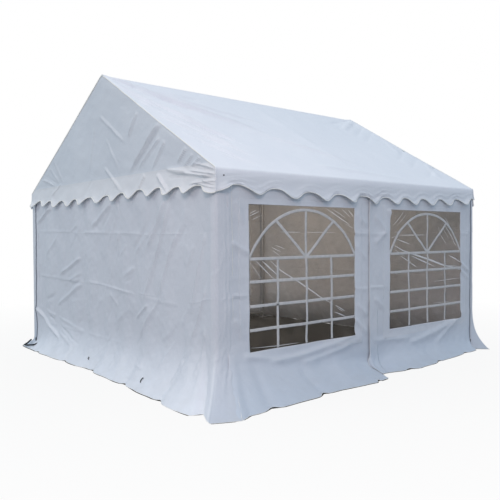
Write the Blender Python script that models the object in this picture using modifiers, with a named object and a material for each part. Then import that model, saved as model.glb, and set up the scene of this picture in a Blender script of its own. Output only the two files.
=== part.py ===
"""Marquee tent, 4 m by 4 m in two bays: a steel tube frame under a sewn roof cover, two gable
panels, two plain end walls and four side walls with a clear window each.

The origin is on the ground at the middle of the plan. The ridge runs along Y, the front gable
faces -Y, and the window walls face +X and -X. Everything is in metres.
"""

import math

import bmesh
import bpy
from mathutils import Matrix, Vector

# Outside sizes of the tent, over the cloth.
WIDTH = 3.90
LENGTH = 4.00
EAVE_HEIGHT = 1.95
RIDGE_HEIGHT = 3.08

# Cloth, and the room between two pieces that touch.
CLOTH = 0.002
GAP = 0.0003
LAYER_ROOM = 0.0005

# Steel tube: the frame's tubes slide over the spigots of the connectors. The arms of a hub start
# a little apart and differ a hair in thickness, so that no two of them share a face.
TUBE_RADIUS = 0.019
TUBE_WALL = 0.0012
TUBE_SIDES = 12
SHARP_ANGLE = math.radians(40)
CONNECTOR_ARM = 0.085
SPIGOT_LENGTH = 0.06
HUB_RADIUS = 0.0187
HUB_RINGS = 6
HUB_START = 0.001
HUB_STAGGER = 0.0008
HUB_TAPER = 0.00007

# Feet and ground bars.
PLATE_SIZE = 0.12
PLATE_THICKNESS = 0.004
GROUND_BAR_HEIGHT = 0.08

# The skirt at the foot of the walls leans out over the last of its height and ends on the ground.
# It is square at the front right corner, where one wall runs on round the post, and cut off
# straight at the other three.
SKIRT_HEIGHT = 0.36
SIDE_SKIRT = 0.33
END_SKIRT = 0.25
SKIRT_STEPS = 6
SKIRT_CURVE = 2.4
SQUARE_CORNER = 6
CUT_CORNER = 1
CORNER_STEPS = 6

# Seams of the walls: across the front, and along the sides.
FRONT_SEAM_X = -1.83
SIDE_FRONT_SEAM_Y = -1.855
SIDE_MIDDLE_SEAM_Y = -0.045
SIDE_BACK_SEAM_Y = 1.93

# Windows of the side walls.
WINDOW_WIDTH = 1.39
WINDOW_LOW = 0.39
WINDOW_HIGH = 1.66
WINDOW_CENTRES = {"front": -0.96, "back": 1.005}
WINDOW_CUT_DEPTH = 0.02

# The wavy hem of the valances.
HEM_NOTCH = 1.80
HEM_LOBE = 1.735
HEM_WAVES = 10
HEM_STEPS = 6
HEM_CUT_MARGIN = 0.05

# Rounding of the roof cover over the eave and the ridge, measured at its inner face.
EAVE_ROUNDING = 0.014
RIDGE_ROUNDING = 0.019
ROUNDING_STEPS = 5

SLOPE = (RIDGE_HEIGHT - EAVE_HEIGHT) / (WIDTH / 2)
PITCH = math.atan(SLOPE)
POST_X = WIDTH / 2 - CLOTH - LAYER_ROOM - CLOTH - GAP - TUBE_RADIUS
POST_Y = LENGTH / 2 - CLOTH - LAYER_ROOM - CLOTH - GAP - TUBE_RADIUS
RIDGE_Z = RIDGE_HEIGHT - (CLOTH + GAP + TUBE_RADIUS) / math.cos(PITCH)
EAVE_Z = RIDGE_Z - SLOPE * POST_X
WALL_OFFSET = TUBE_RADIUS + GAP
SPIGOT_RADIUS = TUBE_RADIUS - TUBE_WALL - GAP
UP = Vector((0, 0, 1))
SIDES = {"right": 1, "left": -1}
BAYS = {"front": -POST_Y, "mid": 0.0, "back": POST_Y}


def clear_scene():
    for thing in list(bpy.data.objects):
        bpy.data.objects.remove(thing, do_unlink=True)


def new_collection(name, hidden=False):
    made = bpy.data.collections.new(name)
    made.hide_render = hidden
    bpy.context.scene.collection.children.link(made)
    return made


def material(name, colour, roughness, metallic=0.0, alpha=1.0):
    made = bpy.data.materials.new(name)
    made.use_nodes = True
    shader = made.node_tree.nodes["Principled BSDF"]
    shader.inputs["Base Color"].default_value = (*colour, 1)
    shader.inputs["Roughness"].default_value = roughness
    shader.inputs["Metallic"].default_value = metallic
    shader.inputs["Alpha"].default_value = alpha
    return made


def object_of(name, mesh_data, collection, look=None):
    made = bpy.data.objects.new(name, mesh_data)
    collection.objects.link(made)
    if look:
        mesh_data.materials.append(look)
    return made


def mesh_of(name, fill):
    """A new mesh that the function fill has drawn into."""
    shape = bmesh.new()
    fill(shape)
    mesh = bpy.data.meshes.new(name)
    shape.to_mesh(mesh)
    shape.free()
    return mesh


def add_cylinder(shape, start, direction, radius, length, capped=True):
    """A cylinder that runs from start along direction."""
    turn = UP.rotation_difference(direction).to_matrix().to_4x4()
    middle = Vector(start) + Vector(direction).normalized() * (length / 2)
    bmesh.ops.create_cone(
        shape,
        cap_ends=capped,
        segments=TUBE_SIDES,
        radius1=radius,
        radius2=radius,
        depth=length,
        matrix=Matrix.Translation(middle) @ turn,
    )


def add_solidify(thing, thickness, outwards):
    """Thickens an open surface on one side only: outwards is along its normals."""
    modifier = thing.modifiers.new("thickness", "SOLIDIFY")
    modifier.thickness = thickness
    modifier.offset = 1 if outwards else -1
    modifier.use_even_offset = True


def add_boolean(thing, other, operation):
    modifier = thing.modifiers.new(operation.lower() + "_" + other.name, "BOOLEAN")
    modifier.operation = operation
    modifier.solver = "EXACT"
    modifier.use_self = True
    modifier.object = other


def hide_cutter(thing):
    thing.hide_render = True
    thing.display_type = "WIRE"


def shade_round(mesh):
    mesh.shade_smooth()
    mesh.set_sharp_from_angle(angle=SHARP_ANGLE)


def tube(name, start, end):
    """An open steel tube between two points."""
    run = end - start

    def pipe(shape):
        add_cylinder(shape, start, run, TUBE_RADIUS, run.length, capped=False)

    mesh = mesh_of(name, pipe)
    shade_round(mesh)
    add_solidify(object_of(name, mesh, TENT, STEEL), TUBE_WALL, outwards=False)


def tube_between(name, start, end):
    """A frame tube whose two ends meet the shoulders of the connectors at start and end."""
    inset = (end - start).normalized() * (CONNECTOR_ARM + GAP)
    tube(name, start + inset, end - inset)


def connector(name, centre, directions):
    """A welded hub: short arms as thick as the tubes, and a spigot that each tube slides over."""

    def hub(shape):
        bmesh.ops.create_uvsphere(
            shape,
            u_segments=TUBE_SIDES,
            v_segments=HUB_RINGS,
            radius=HUB_RADIUS,
            matrix=Matrix.Translation(centre),
        )

    def arms(shape):
        for number, direction in enumerate(directions):
            back = HUB_START + number * HUB_STAGGER
            radius = TUBE_RADIUS - number * HUB_TAPER
            start = centre - direction * back
            add_cylinder(shape, start, direction, radius, CONNECTOR_ARM + back)
            inside_arm = centre + direction * CONNECTOR_ARM / 2
            length = CONNECTOR_ARM / 2 + SPIGOT_LENGTH
            add_cylinder(shape, inside_arm, direction, SPIGOT_RADIUS, length)

    made = object_of(name, mesh_of(name, hub), TENT, STEEL)
    helper = object_of(name + "_arms", mesh_of(name + "_arms", arms), CUTTERS)
    hide_cutter(helper)
    add_boolean(made, helper, "UNION")


def post(name, x, y, bar_directions):
    """A leg: a tube on a foot plate, with a spigot low down for each ground bar."""

    def leg(shape):
        length = EAVE_Z - CONNECTOR_ARM - GAP - PLATE_THICKNESS / 2
        foot = (x, y, PLATE_THICKNESS / 2)
        add_cylinder(shape, foot, UP, TUBE_RADIUS, length, capped=False)

    def plate(shape):
        size = Matrix.Diagonal((PLATE_SIZE, PLATE_SIZE, PLATE_THICKNESS, 1))
        place = Matrix.Translation((x, y, PLATE_THICKNESS / 2))
        bmesh.ops.create_cube(shape, size=1, matrix=place @ size)

    def bar_spigots(shape):
        inside = TUBE_RADIUS - TUBE_WALL / 2
        for direction in bar_directions:
            start = Vector((x, y, GROUND_BAR_HEIGHT)) + inside * Vector(direction)
            add_cylinder(shape, start, direction, SPIGOT_RADIUS, SPIGOT_LENGTH)

    made = object_of(name, mesh_of(name, leg), TENT, STEEL)
    add_solidify(made, TUBE_WALL, outwards=False)
    for part in (plate, bar_spigots):
        helper = object_of(f"{name}_{part.__name__}", mesh_of(part.__name__, part), CUTTERS)
        hide_cutter(helper)
        add_boolean(made, helper, "UNION")


def build_frame():
    """Three portal frames, joined by the eave rails, the ridge and the ground bars."""
    along = Vector((0, 1, 0))
    ridge = {bay: Vector((0, y, RIDGE_Z)) for bay, y in BAYS.items()}
    neighbours = {"front": [along], "mid": [along, -along], "back": [-along]}
    for side, sign in SIDES.items():
        eave = {bay: Vector((sign * POST_X, y, EAVE_Z)) for bay, y in BAYS.items()}
        for bay, corner in eave.items():
            arms = [-UP, (ridge[bay] - corner).normalized(), *neighbours[bay]]
            if bay != "mid":
                arms.append(Vector((-sign, 0, 0)))
            connector(f"eave_connector_{bay}_{side}", corner, arms)
            post(f"post_{bay}_{side}", corner.x, corner.y, neighbours[bay])
            tube_between(f"rafter_{bay}_{side}", corner, ridge[bay])
        for bay in ("front", "back"):
            tube_between(f"eave_rail_{bay}_{side}", eave[bay], eave["mid"])
            lift = Vector((0, 0, GROUND_BAR_HEIGHT - EAVE_Z))
            run = (eave["mid"] - eave[bay]).normalized() * (TUBE_RADIUS + GAP)
            tube(f"ground_bar_{bay}_{side}", eave[bay] + lift + run, eave["mid"] + lift - run)
    for bay in ("front", "back"):
        y = BAYS[bay]
        tube_between(
            f"tie_bar_{bay}", Vector((-POST_X, y, EAVE_Z)), Vector((POST_X, y, EAVE_Z))
        )
        tube_between(f"ridge_tube_{bay}", ridge[bay], ridge["mid"])
    for bay, top in ridge.items():
        down = [Vector((sign * POST_X, BAYS[bay], EAVE_Z)) - top for sign in SIDES.values()]
        arms = [direction.normalized() for direction in down] + neighbours[bay]
        connector(f"ridge_connector_{bay}", top, arms)


def rounded(corner, before, after, radius):
    """The points of a round bend of this radius at corner, on the way from before to after."""
    arrive = (corner - before).normalized()
    leave = (after - corner).normalized()
    turn = arrive.angle(leave)
    cut = radius * math.tan(turn / 2)
    start = corner - arrive * cut
    side = Vector((arrive.y, -arrive.x))
    if side.dot(leave) < 0:
        side = -side
    centre = start + side * radius
    spoke = start - centre
    sense = 1 if arrive.x * leave.y - arrive.y * leave.x > 0 else -1
    points = []
    for step in range(ROUNDING_STEPS + 1):
        angle = sense * turn * step / ROUNDING_STEPS
        turned = Matrix.Rotation(angle, 2) @ spoke
        points.append(centre + turned)
    return points


def roof_line(inset, foot):
    """The cover's outline across the tent, from the right foot over the ridge to the left foot.

    It lies inset inside the tent's outer face, and its feet are at the height foot.
    """
    wall_x = WIDTH / 2 - inset
    top_z = RIDGE_HEIGHT - inset / math.cos(PITCH)
    eave_z = top_z - SLOPE * wall_x
    outer = CLOTH - inset
    right = [Vector((wall_x, foot)), Vector((wall_x, eave_z)), Vector((0, top_z))]
    bend = rounded(right[1], right[0], right[2], EAVE_ROUNDING + outer)
    left_eave = Vector((-wall_x, eave_z))
    crown = rounded(right[2], right[1], left_eave, RIDGE_ROUNDING + outer)
    half = [right[0], *bend]
    mirrored = [Vector((-point.x, point.y)) for point in reversed(half)]
    return half + crown + mirrored


def hem_points(start, end):
    """The wavy lower edge of a valance, as distances along it and heights."""
    waves = HEM_WAVES * HEM_STEPS
    middle = (HEM_NOTCH + HEM_LOBE) / 2
    swing = (HEM_NOTCH - HEM_LOBE) / 2
    points = []
    for step in range(waves + 1):
        place = start + (end - start) * step / waves
        height = middle - swing * math.cos(2 * math.pi * step / HEM_STEPS)
        points.append((place, height))
    return points


def surface(name, rows):
    """An open surface through rows of points, each row as long as the next."""
    shape = bmesh.new()
    grid = [[shape.verts.new(point) for point in row] for row in rows]
    for low, high in zip(grid, grid[1:]):
        for i in range(len(low) - 1):
            shape.faces.new((low[i], low[i + 1], high[i + 1], high[i]))
    mesh = bpy.data.meshes.new(name)
    shape.to_mesh(mesh)
    shape.free()
    return mesh


def flat_panel(name, outline, depth, collection, look=None):
    """A flat closed outline in the XZ plane, given a depth along Y around its own plane."""
    curve = bpy.data.curves.new(name, "CURVE")
    curve.dimensions = "2D"
    curve.fill_mode = "BOTH"
    curve.extrude = depth / 2
    spline = curve.splines.new("POLY")
    spline.points.add(len(outline) - 1)
    for point, (x, z) in zip(spline.points, outline):
        point.co = (x, z, 0, 1)
    spline.use_cyclic_u = True
    drawn = bpy.data.objects.new(name + "_outline", curve)
    bpy.context.scene.collection.objects.link(drawn)
    bpy.context.view_layer.update()
    graph = bpy.context.evaluated_depsgraph_get()
    mesh = bpy.data.meshes.new_from_object(drawn.evaluated_get(graph))
    bpy.data.objects.remove(drawn, do_unlink=True)
    shape = bmesh.new()
    shape.from_mesh(mesh)
    bmesh.ops.remove_doubles(shape, verts=shape.verts, dist=0.00001)
    shape.transform(Matrix.Rotation(math.pi / 2, 4, "X"))
    bmesh.ops.recalc_face_normals(shape, faces=shape.faces)
    shape.to_mesh(mesh)
    shape.free()
    mesh.name = name
    mesh.materials.clear()
    return object_of(name, mesh, collection, look)


def build_roof():
    """The roof cover with its two side valances, and the two gable panels."""
    inner = roof_line(CLOTH, HEM_LOBE)
    half = LENGTH / 2
    rows = [[(point.x, y, point.y) for point in inner] for y in (half, -half)]
    cover = object_of("roof_cover", surface("roof_cover", rows), TENT, ROOF_CLOTH)
    add_solidify(cover, CLOTH, outwards=True)

    beyond = half + HEM_CUT_MARGIN
    below = HEM_LOBE - HEM_CUT_MARGIN
    edge = hem_points(-half, half)
    wave = [(-beyond, edge[0][1]), *edge, (beyond, edge[-1][1]), (beyond, below), (-beyond, below)]
    hem = flat_panel("hem_cutter", wave, WIDTH + 2 * HEM_CUT_MARGIN, CUTTERS)
    hem.rotation_euler = (0, 0, math.pi / 2)
    hide_cutter(hem)
    add_boolean(cover, hem, "DIFFERENCE")

    under = roof_line(CLOTH + GAP, HEM_LOBE)
    reach = under[0].x
    outline = [(point.x, point.y) for point in under[1:-1]]
    outline += hem_points(-reach, reach)
    for name, sign in (("gable_front", -1), ("gable_back", 1)):
        gable = flat_panel(name, outline, CLOTH, TENT, GABLE_CLOTH)
        gable.location.y = sign * (half - CLOTH / 2)


def plan_station(x, y, normal, power=CUT_CORNER):
    """A place on the plan of the walls: the post line, the way out, and the skirt's reach."""
    out = Vector(normal)
    across = (abs(out.x) / SIDE_SKIRT) ** power
    lengthwise = (abs(out.y) / END_SKIRT) ** power
    return Vector((x, y)), out, (across + lengthwise) ** (-1 / power)


def corner_stations(sign_x, sign_y, power=CUT_CORNER):
    """The stations round one corner post, anticlockwise seen from above."""
    middle = math.atan2(sign_y, sign_x)
    stations = []
    for step in range(CORNER_STEPS + 1):
        angle = middle + (step / CORNER_STEPS - 0.5) * math.pi / 2
        out = (math.cos(angle), math.sin(angle))
        stations.append(plan_station(sign_x * POST_X, sign_y * POST_Y, out, power))
    return stations


def wall(name, stations):
    """A hanging wall: upright from the eave to the skirt, then out on to the ground."""
    heights = [(0.0, EAVE_Z)]
    for step in range(SKIRT_STEPS + 1):
        share = step / SKIRT_STEPS
        heights.append((share**SKIRT_CURVE, SKIRT_HEIGHT * (1 - share)))
    rows = []
    for place, out, reach in stations:
        row = []
        for share, z in heights:
            spot = place + out * (WALL_OFFSET + reach * share)
            row.append((spot.x, spot.y, z))
        rows.append(row)
    made = object_of(name, surface(name, rows), TENT, WALL_CLOTH)
    add_solidify(made, CLOTH, outwards=True)
    return made


def window(side, bay, panel):
    """The opening of a side wall, and the clear film that closes it."""
    x = SIDES[side] * (POST_X + WALL_OFFSET + CLOTH / 2)
    centre = Vector((x, WINDOW_CENTRES[bay], (WINDOW_LOW + WINDOW_HIGH) / 2))
    height = WINDOW_HIGH - WINDOW_LOW

    def block(depth, inset):
        size = Matrix.Diagonal((depth, WINDOW_WIDTH - 2 * inset, height - 2 * inset, 1))
        place = Matrix.Translation(centre) @ size
        return lambda shape: bmesh.ops.create_cube(shape, size=1, matrix=place)

    name = f"window_{bay}_{side}"
    opening = mesh_of(name + "_opening", block(WINDOW_CUT_DEPTH, 0))
    cutter = object_of(name + "_cutter", opening, CUTTERS)
    hide_cutter(cutter)
    add_boolean(panel, cutter, "DIFFERENCE")
    object_of(name, mesh_of(name, block(CLOTH, GAP)), TENT, FILM)


def build_walls():
    """Two end walls and four side walls that meet edge to edge at their seams."""
    seam = GAP / 2
    front = (0, -1)
    back = (0, 1)
    right = (1, 0)
    left = (-1, 0)
    wall(
        "wall_front",
        [
            plan_station(FRONT_SEAM_X + seam, -POST_Y, front),
            *corner_stations(1, -1, SQUARE_CORNER),
            plan_station(POST_X, SIDE_FRONT_SEAM_Y - seam, right),
        ],
    )
    wall(
        "wall_back",
        [
            plan_station(POST_X, SIDE_BACK_SEAM_Y + seam, right),
            *corner_stations(1, 1),
            *corner_stations(-1, 1),
            plan_station(-POST_X, SIDE_BACK_SEAM_Y + seam, left),
        ],
    )
    right_front = wall(
        "wall_front_right",
        [
            plan_station(POST_X, SIDE_FRONT_SEAM_Y + seam, right),
            plan_station(POST_X, SIDE_MIDDLE_SEAM_Y - seam, right),
        ],
    )
    right_back = wall(
        "wall_back_right",
        [
            plan_station(POST_X, SIDE_MIDDLE_SEAM_Y + seam, right),
            plan_station(POST_X, SIDE_BACK_SEAM_Y - seam, right),
        ],
    )
    left_back = wall(
        "wall_back_left",
        [
            plan_station(-POST_X, SIDE_BACK_SEAM_Y - seam, left),
            plan_station(-POST_X, SIDE_MIDDLE_SEAM_Y + seam, left),
        ],
    )
    left_front = wall(
        "wall_front_left",
        [
            plan_station(-POST_X, SIDE_MIDDLE_SEAM_Y - seam, left),
            *corner_stations(-1, -1),
            plan_station(FRONT_SEAM_X - seam, -POST_Y, front),
        ],
    )
    window("right", "front", right_front)
    window("right", "back", right_back)
    window("left", "front", left_front)
    window("left", "back", left_back)


clear_scene()
TENT = new_collection("marquee_tent")
CUTTERS = new_collection("cutters", hidden=True)
STEEL = material("galvanised_steel", (0.62, 0.64, 0.66), 0.42, metallic=0.85)
ROOF_CLOTH = material("roof_cloth", (0.80, 0.84, 0.90), 0.55)
GABLE_CLOTH = material("gable_cloth", (0.74, 0.79, 0.85), 0.55)
WALL_CLOTH = material("wall_cloth", (0.72, 0.76, 0.83), 0.55)
FILM = material("window_film", (0.74, 0.72, 0.68), 0.18, alpha=0.35)
build_frame()
build_roof()
build_walls()
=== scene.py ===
"""Looks of the marquee tent: cloth, windows, seams, fastenings, steel, camera and light."""
import math

import bpy
import numpy as np
from mathutils import Matrix, Vector


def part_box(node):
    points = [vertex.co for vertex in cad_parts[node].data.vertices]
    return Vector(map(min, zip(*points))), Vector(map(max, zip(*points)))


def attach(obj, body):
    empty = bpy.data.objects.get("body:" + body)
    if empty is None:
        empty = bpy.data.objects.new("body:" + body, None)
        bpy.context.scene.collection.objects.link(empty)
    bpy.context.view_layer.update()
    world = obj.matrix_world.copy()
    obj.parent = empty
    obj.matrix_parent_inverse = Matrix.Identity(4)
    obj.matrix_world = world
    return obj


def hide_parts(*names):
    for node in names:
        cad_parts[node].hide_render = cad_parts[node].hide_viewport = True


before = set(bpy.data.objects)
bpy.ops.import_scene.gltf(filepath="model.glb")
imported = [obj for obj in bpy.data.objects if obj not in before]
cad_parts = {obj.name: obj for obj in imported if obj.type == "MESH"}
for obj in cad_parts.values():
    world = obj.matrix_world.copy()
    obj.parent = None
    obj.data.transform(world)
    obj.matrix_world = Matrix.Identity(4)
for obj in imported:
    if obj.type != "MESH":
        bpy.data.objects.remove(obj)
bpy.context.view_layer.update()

# Sizes read from the frame.
ROOF_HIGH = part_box("roof_cover")[1]
RAIL_LOW, RAIL_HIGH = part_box("eave_rail_front_right")
TIE_LOW, TIE_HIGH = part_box("tie_bar_front")
HALF_WIDTH = ROOF_HIGH[0]
HALF_LENGTH = ROOF_HIGH[1]
POST_X = (RAIL_LOW[0] + RAIL_HIGH[0]) / 2
POST_Y = -(TIE_LOW[1] + TIE_HIGH[1]) / 2
EAVE_Z = (RAIL_LOW[2] + RAIL_HIGH[2]) / 2
WALL_OFFSET = (RAIL_HIGH[0] - RAIL_LOW[0]) / 2
WINDOWS = {bay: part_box(f"window_{bay}_right") for bay in ("front", "back")}

# The roof's planes: the height of the eave's corner and of the ridge before they are rounded.
EAVE_HEIGHT = 1.95
RIDGE_HEIGHT = 3.08
SLOPE = (RIDGE_HEIGHT - EAVE_HEIGHT) / HALF_WIDTH
PITCH = math.atan(SLOPE)

SIDES = {1: "right", -1: "left"}
ENDS = {-1: "front", 1: "back"}

# Cloth: its thickness, the steps of the sheets' grids, and how far it stays off other things.
CLOTH = 0.0012
FINE = 0.016
FINEST = 0.0145
MEDIUM = 0.022
COARSE = 0.04
FILM_STEP = {1: 0.009, -1: 0.012}
BAR_STEP = 0.012
CREASE_STEP = 0.02
ROOF_NEAR_END = -0.9
ROOF_STEP = 0.030
SEEN_TURN = 36
HIDDEN_TURN = 16
GROUND_CLEAR = 0.002
CLEARANCE = 0.0005
SLACK = 0.0065
TUCK_Z = 1.86
TUCK = 0.12

# Radii of the bound edges, beads and cords.
HEM_RADIUS = 0.0016
SIDE_BINDING = 0.0035
GABLE_BINDING = 0.0055
CORNER_BEAD = 0.006
RAKE_BEAD = 0.0055
TOGGLE_RADIUS = 0.0045
STRAP_RADIUS = 0.010

# Skirt at the foot of the walls, with closer rows near its hem, and the whole length of a wall.
SKIRT_HEIGHT = 0.58
SKIRT_LENGTH = 0.70
WALL_LENGTH = 2.06
LOW_ROWS = (0.10, 0.08, 0.064, 0.05, 0.038, 0.028, 0.020, 0.013, 0.007, 0.003)

# Packing creases, which run level round all walls.
CREASES = (1.43, 0.87)
CREASE_HALF = 0.007
CREASE_ROWS = (-0.018, -0.010, -0.005, 0, 0.005, 0.010, 0.018)

# Seams of the walls.
FRONT_SEAM_X = -1.80
SIDE_FRONT_SEAM_Y = -1.84
SIDE_MIDDLE_SEAM_Y = -0.045
SIDE_BACK_SEAM_Y = 1.93
LAP = 0.05
LAP_START = 0.10
LAP_ROUNDING = 0.08

# How far the skirt reaches out from the wall, at places along each side.
RIGHT_REACH = ((-1.98, 0.51), (-1.905, 0.53), (-1.84, 0.545), (-1.79, 0.455), (-1.6, 0.42),
               (-1.3, 0.385), (-1.0, 0.365), (-0.7, 0.365), (-0.45, 0.395), (-0.1, 0.41),
               (0.1, 0.385), (0.36, 0.335), (0.6, 0.29), (0.9, 0.25), (1.2, 0.215), (1.5, 0.185),
               (1.80, 0.17), (1.91, 0.15), (1.935, 0.16), (1.98, 0.25))
FRONT_REACH = ((-1.95, 0.165), (-1.6, 0.185), (-1.2, 0.205), (-0.9, 0.205), (-0.6, 0.19),
               (-0.2, 0.175), (0.05, 0.17), (0.3, 0.215), (0.7, 0.235), (1.0, 0.255),
               (1.3, 0.285), (1.6, 0.34), (1.72, 0.40), (1.79, 0.43), (1.84, 0.35), (1.88, 0.31),
               (1.91, 0.36), (1.93, 0.45))
HIDDEN_REACH = {"left": 0.27, "back": 0.20}

# How sharply the skirt turns out: low numbers lean out from higher up.
RIGHT_CURVE = ((-1.98, 2.4), (-1.6, 3.0), (-1.1, 4.5), (-0.6, 6.0), (-0.3, 9.0), (-0.1, 14.0),
               (0.05, 13.0), (0.3, 8.0), (1.3, 6.0), (1.75, 6.0), (1.88, 4.0), (1.94, 3.5),
               (1.98, 3.6))
FRONT_CURVE = ((-1.95, 26.0), (-1.80, 22.0), (-1.70, 12.0), (-1.45, 6.0), (-0.9, 4.0), (1.0, 2.8),
               (1.93, 2.4))
HIDDEN_CURVE = {"left": 14.0, "back": 2.6}

# How far the skirt's folds turn towards the front or the side, in radians, along each side.
RIGHT_FAN = ((-1.98, 0.785), (-1.905, 0.66), (-1.84, 0.54), (-1.79, 0.48), (-1.6, 0.26),
             (-1.3, 0.06), (-1.0, 0), (-0.6, 0.03), (-0.25, 0.30), (-0.1, 0.47), (0.1, 0.42),
             (0.45, 0.06), (0.7, 0), (1.80, 0), (1.87, 0.5), (1.91, 1.1), (1.94, 1.1), (1.97, 0))
FRONT_FAN = ((0.9, 0), (1.3, 0.08), (1.6, 0.30), (1.79, 0.64), (1.88, 0.72), (1.93, 0.785))
HIDDEN_FAN = {"left": 0, "back": 0}

# Where the skirt's edge draws in and lifts, between its tie-downs.
RIGHT_NOTCHES = (-1.62, -1.08, -0.20, 0.36, 0.89, 1.54)
FRONT_NOTCHES = (-1.35, -0.62, 0.05, 0.80, 1.47)
NOTCH_LIFT = 0.008
NOTCH_DRAW = 0.12
NOTCH_WIDTH = 0.05
REACH_UNEVEN = 0.008

# The windows' bars, arch and welded border, from the window's lower edge and its middle.
BAR_WIDTH = 0.027
BAR_THICK = 0.0016
BAR_ROWS = (0.186, 0.392, 0.602)
BAR_COLUMNS = (-0.355, 0.0, 0.352)
ARCH_BASE = 0.800
ARCH_HALF = 0.695
ARCH_RISE = 0.435
ARCH_RADIUS = (ARCH_HALF**2 + ARCH_RISE**2) / (2 * ARCH_RISE)
RAY_SIDE = 0.38
RAY_RISE = math.sqrt(ARCH_RADIUS**2 - RAY_SIDE**2) - ARCH_RADIUS + ARCH_RISE
BORDER_SIDE = 0.11
BORDER_BELOW = 0.09
BORDER_ABOVE = 0.05
BORDER_SHARES = (0.0, 0.0, 0.06, 0.16, 0.24, 0.45, 0.7, 0.93, 1.0, 1.0)
BORDER_HEIGHTS = (0.0, 0.0024, 0.0030, 0.0028, 0.0012, 0.0014, 0.0014, 0.0014, 0.0010, 0.0)

# Zips, and the black strap and elastic loops at the foot of the front wall. The strap also stands for the
# shadow where the skirts part at the front's left corner: painted shadow.
ZIP_PITCH = 0.01
ZIP_TEETH = 0.0028
ZIP_SLIDER = 0.0065
ZIP_TOP = 1.82
ZIP_FOOT = 0.09
TOGGLES = ((-0.165, 0.03), (1.05, 0.075))
STRAP_AND_SHADOW = ((-1.965, -2.035, 0.060), (-1.850, -2.130, 0.040), (-1.790, -2.185, 0.036),
         (-1.735, -2.175, 0.036), (-1.705, -2.140, 0.036), (-1.700, -2.090, 0.038),
         (-1.715, -2.050, 0.045))

# Middles of the valance's lobes along the right side and across the front.
SIDE_LOBES = (-2.42, -2.02, -1.56, -1.13, -0.72, -0.33, 0.03, 0.39, 0.715, 1.05, 1.41, 1.76, 2.12)
FRONT_LOBES = (-2.12, -1.80, -1.50, -1.16, -0.82, -0.47, -0.07, 0.265, 0.585, 0.955, 1.27, 1.57,
               1.92, 2.26)

# How much lower the hem hangs than the eave's corner asks for, at places along it.
SIDE_SAG = ((-2.0, -0.016), (-1.5, -0.010), (-1.13, 0.011), (-0.72, 0.021), (0.0, 0.025),
            (0.39, 0.018), (0.9, 0.011), (1.4, 0.0), (1.75, -0.016), (2.0, -0.022))
FRONT_SAG = ((-1.95, -0.035), (-1.58, -0.040), (-1.2, -0.014), (-0.8, -0.008), (-0.4, -0.010),
             (0.2, -0.018), (0.75, -0.034), (1.1, -0.030), (1.4, -0.015), (1.62, -0.024),
             (1.82, 0.0), (2.0, -0.014))
NOTCH_DROP = 0.145
LOBE_DROP = 0.215
CORNER_HOLD = 0.10
VALANCE_PROUD = 0.0035

# The roof's rounded eave and crown, its lift over the rafters' joints and its sag between
# them, and the seam between a gable and its valance.
EAVE_ROUNDING = 0.040
CROWN = (0.010, 0.005, 0, -0.005, -0.010)
CROWN_EDGE = 0.014
RIDGE_LIFT = 0.013
RIDGE_LIFT_LENGTH = 0.075
RIDGE_LIFT_RUN = 1.2
ROOF_SAG = 0.022
GABLE_SEAM = EAVE_HEIGHT + 0.045

# Eyelets of the side valances: the ring, its height, and how far in from the end it is.
EYELET_RADIUS = 0.006
EYELET_THICK = 0.0032
EYELET_HEIGHT = 1.889
EYELET_INSET = 0.077

# The floor: how far it goes, where its glow begins and is complete, and the steps of the rim of
# the near-black ground under the tent, which is painted shade.
FLOOR_REACH = 90
RIM_STEP = 0.05
RIM_TURN = 8
FLOOR_NEAR = 2.4
FLOOR_FAR = 7.0
FLOOR_GLOW = 0.90

# The photo's camera, solved from the tent's straight edges, and the photo's width in pixels.
CAMERA_PLACE = np.array([5.9326, -5.0576, 1.3854])
CAMERA_YAW = -0.8613
CAMERA_PITCH = -0.0223
CAMERA_ROLL = -0.0058
CAMERA_LENS = 44.25
CAMERA_SENSOR = 36
PHOTO_WIDTH = 500

# Planes on which folds were traced: the normal, the offset, and the axes that a fold is given in.
PLANES = {
    "front": ((0, -1, 0), 1.975, (0, 2)),
    "gable": ((0, -1, 0), 2.0, (0, 2)),
    "roof": ((SLOPE, 0, 1), RIDGE_HEIGHT, (1, 0)),
    "side": ((1, 0, 0), 1.943, (1, 2)),
}
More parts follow.
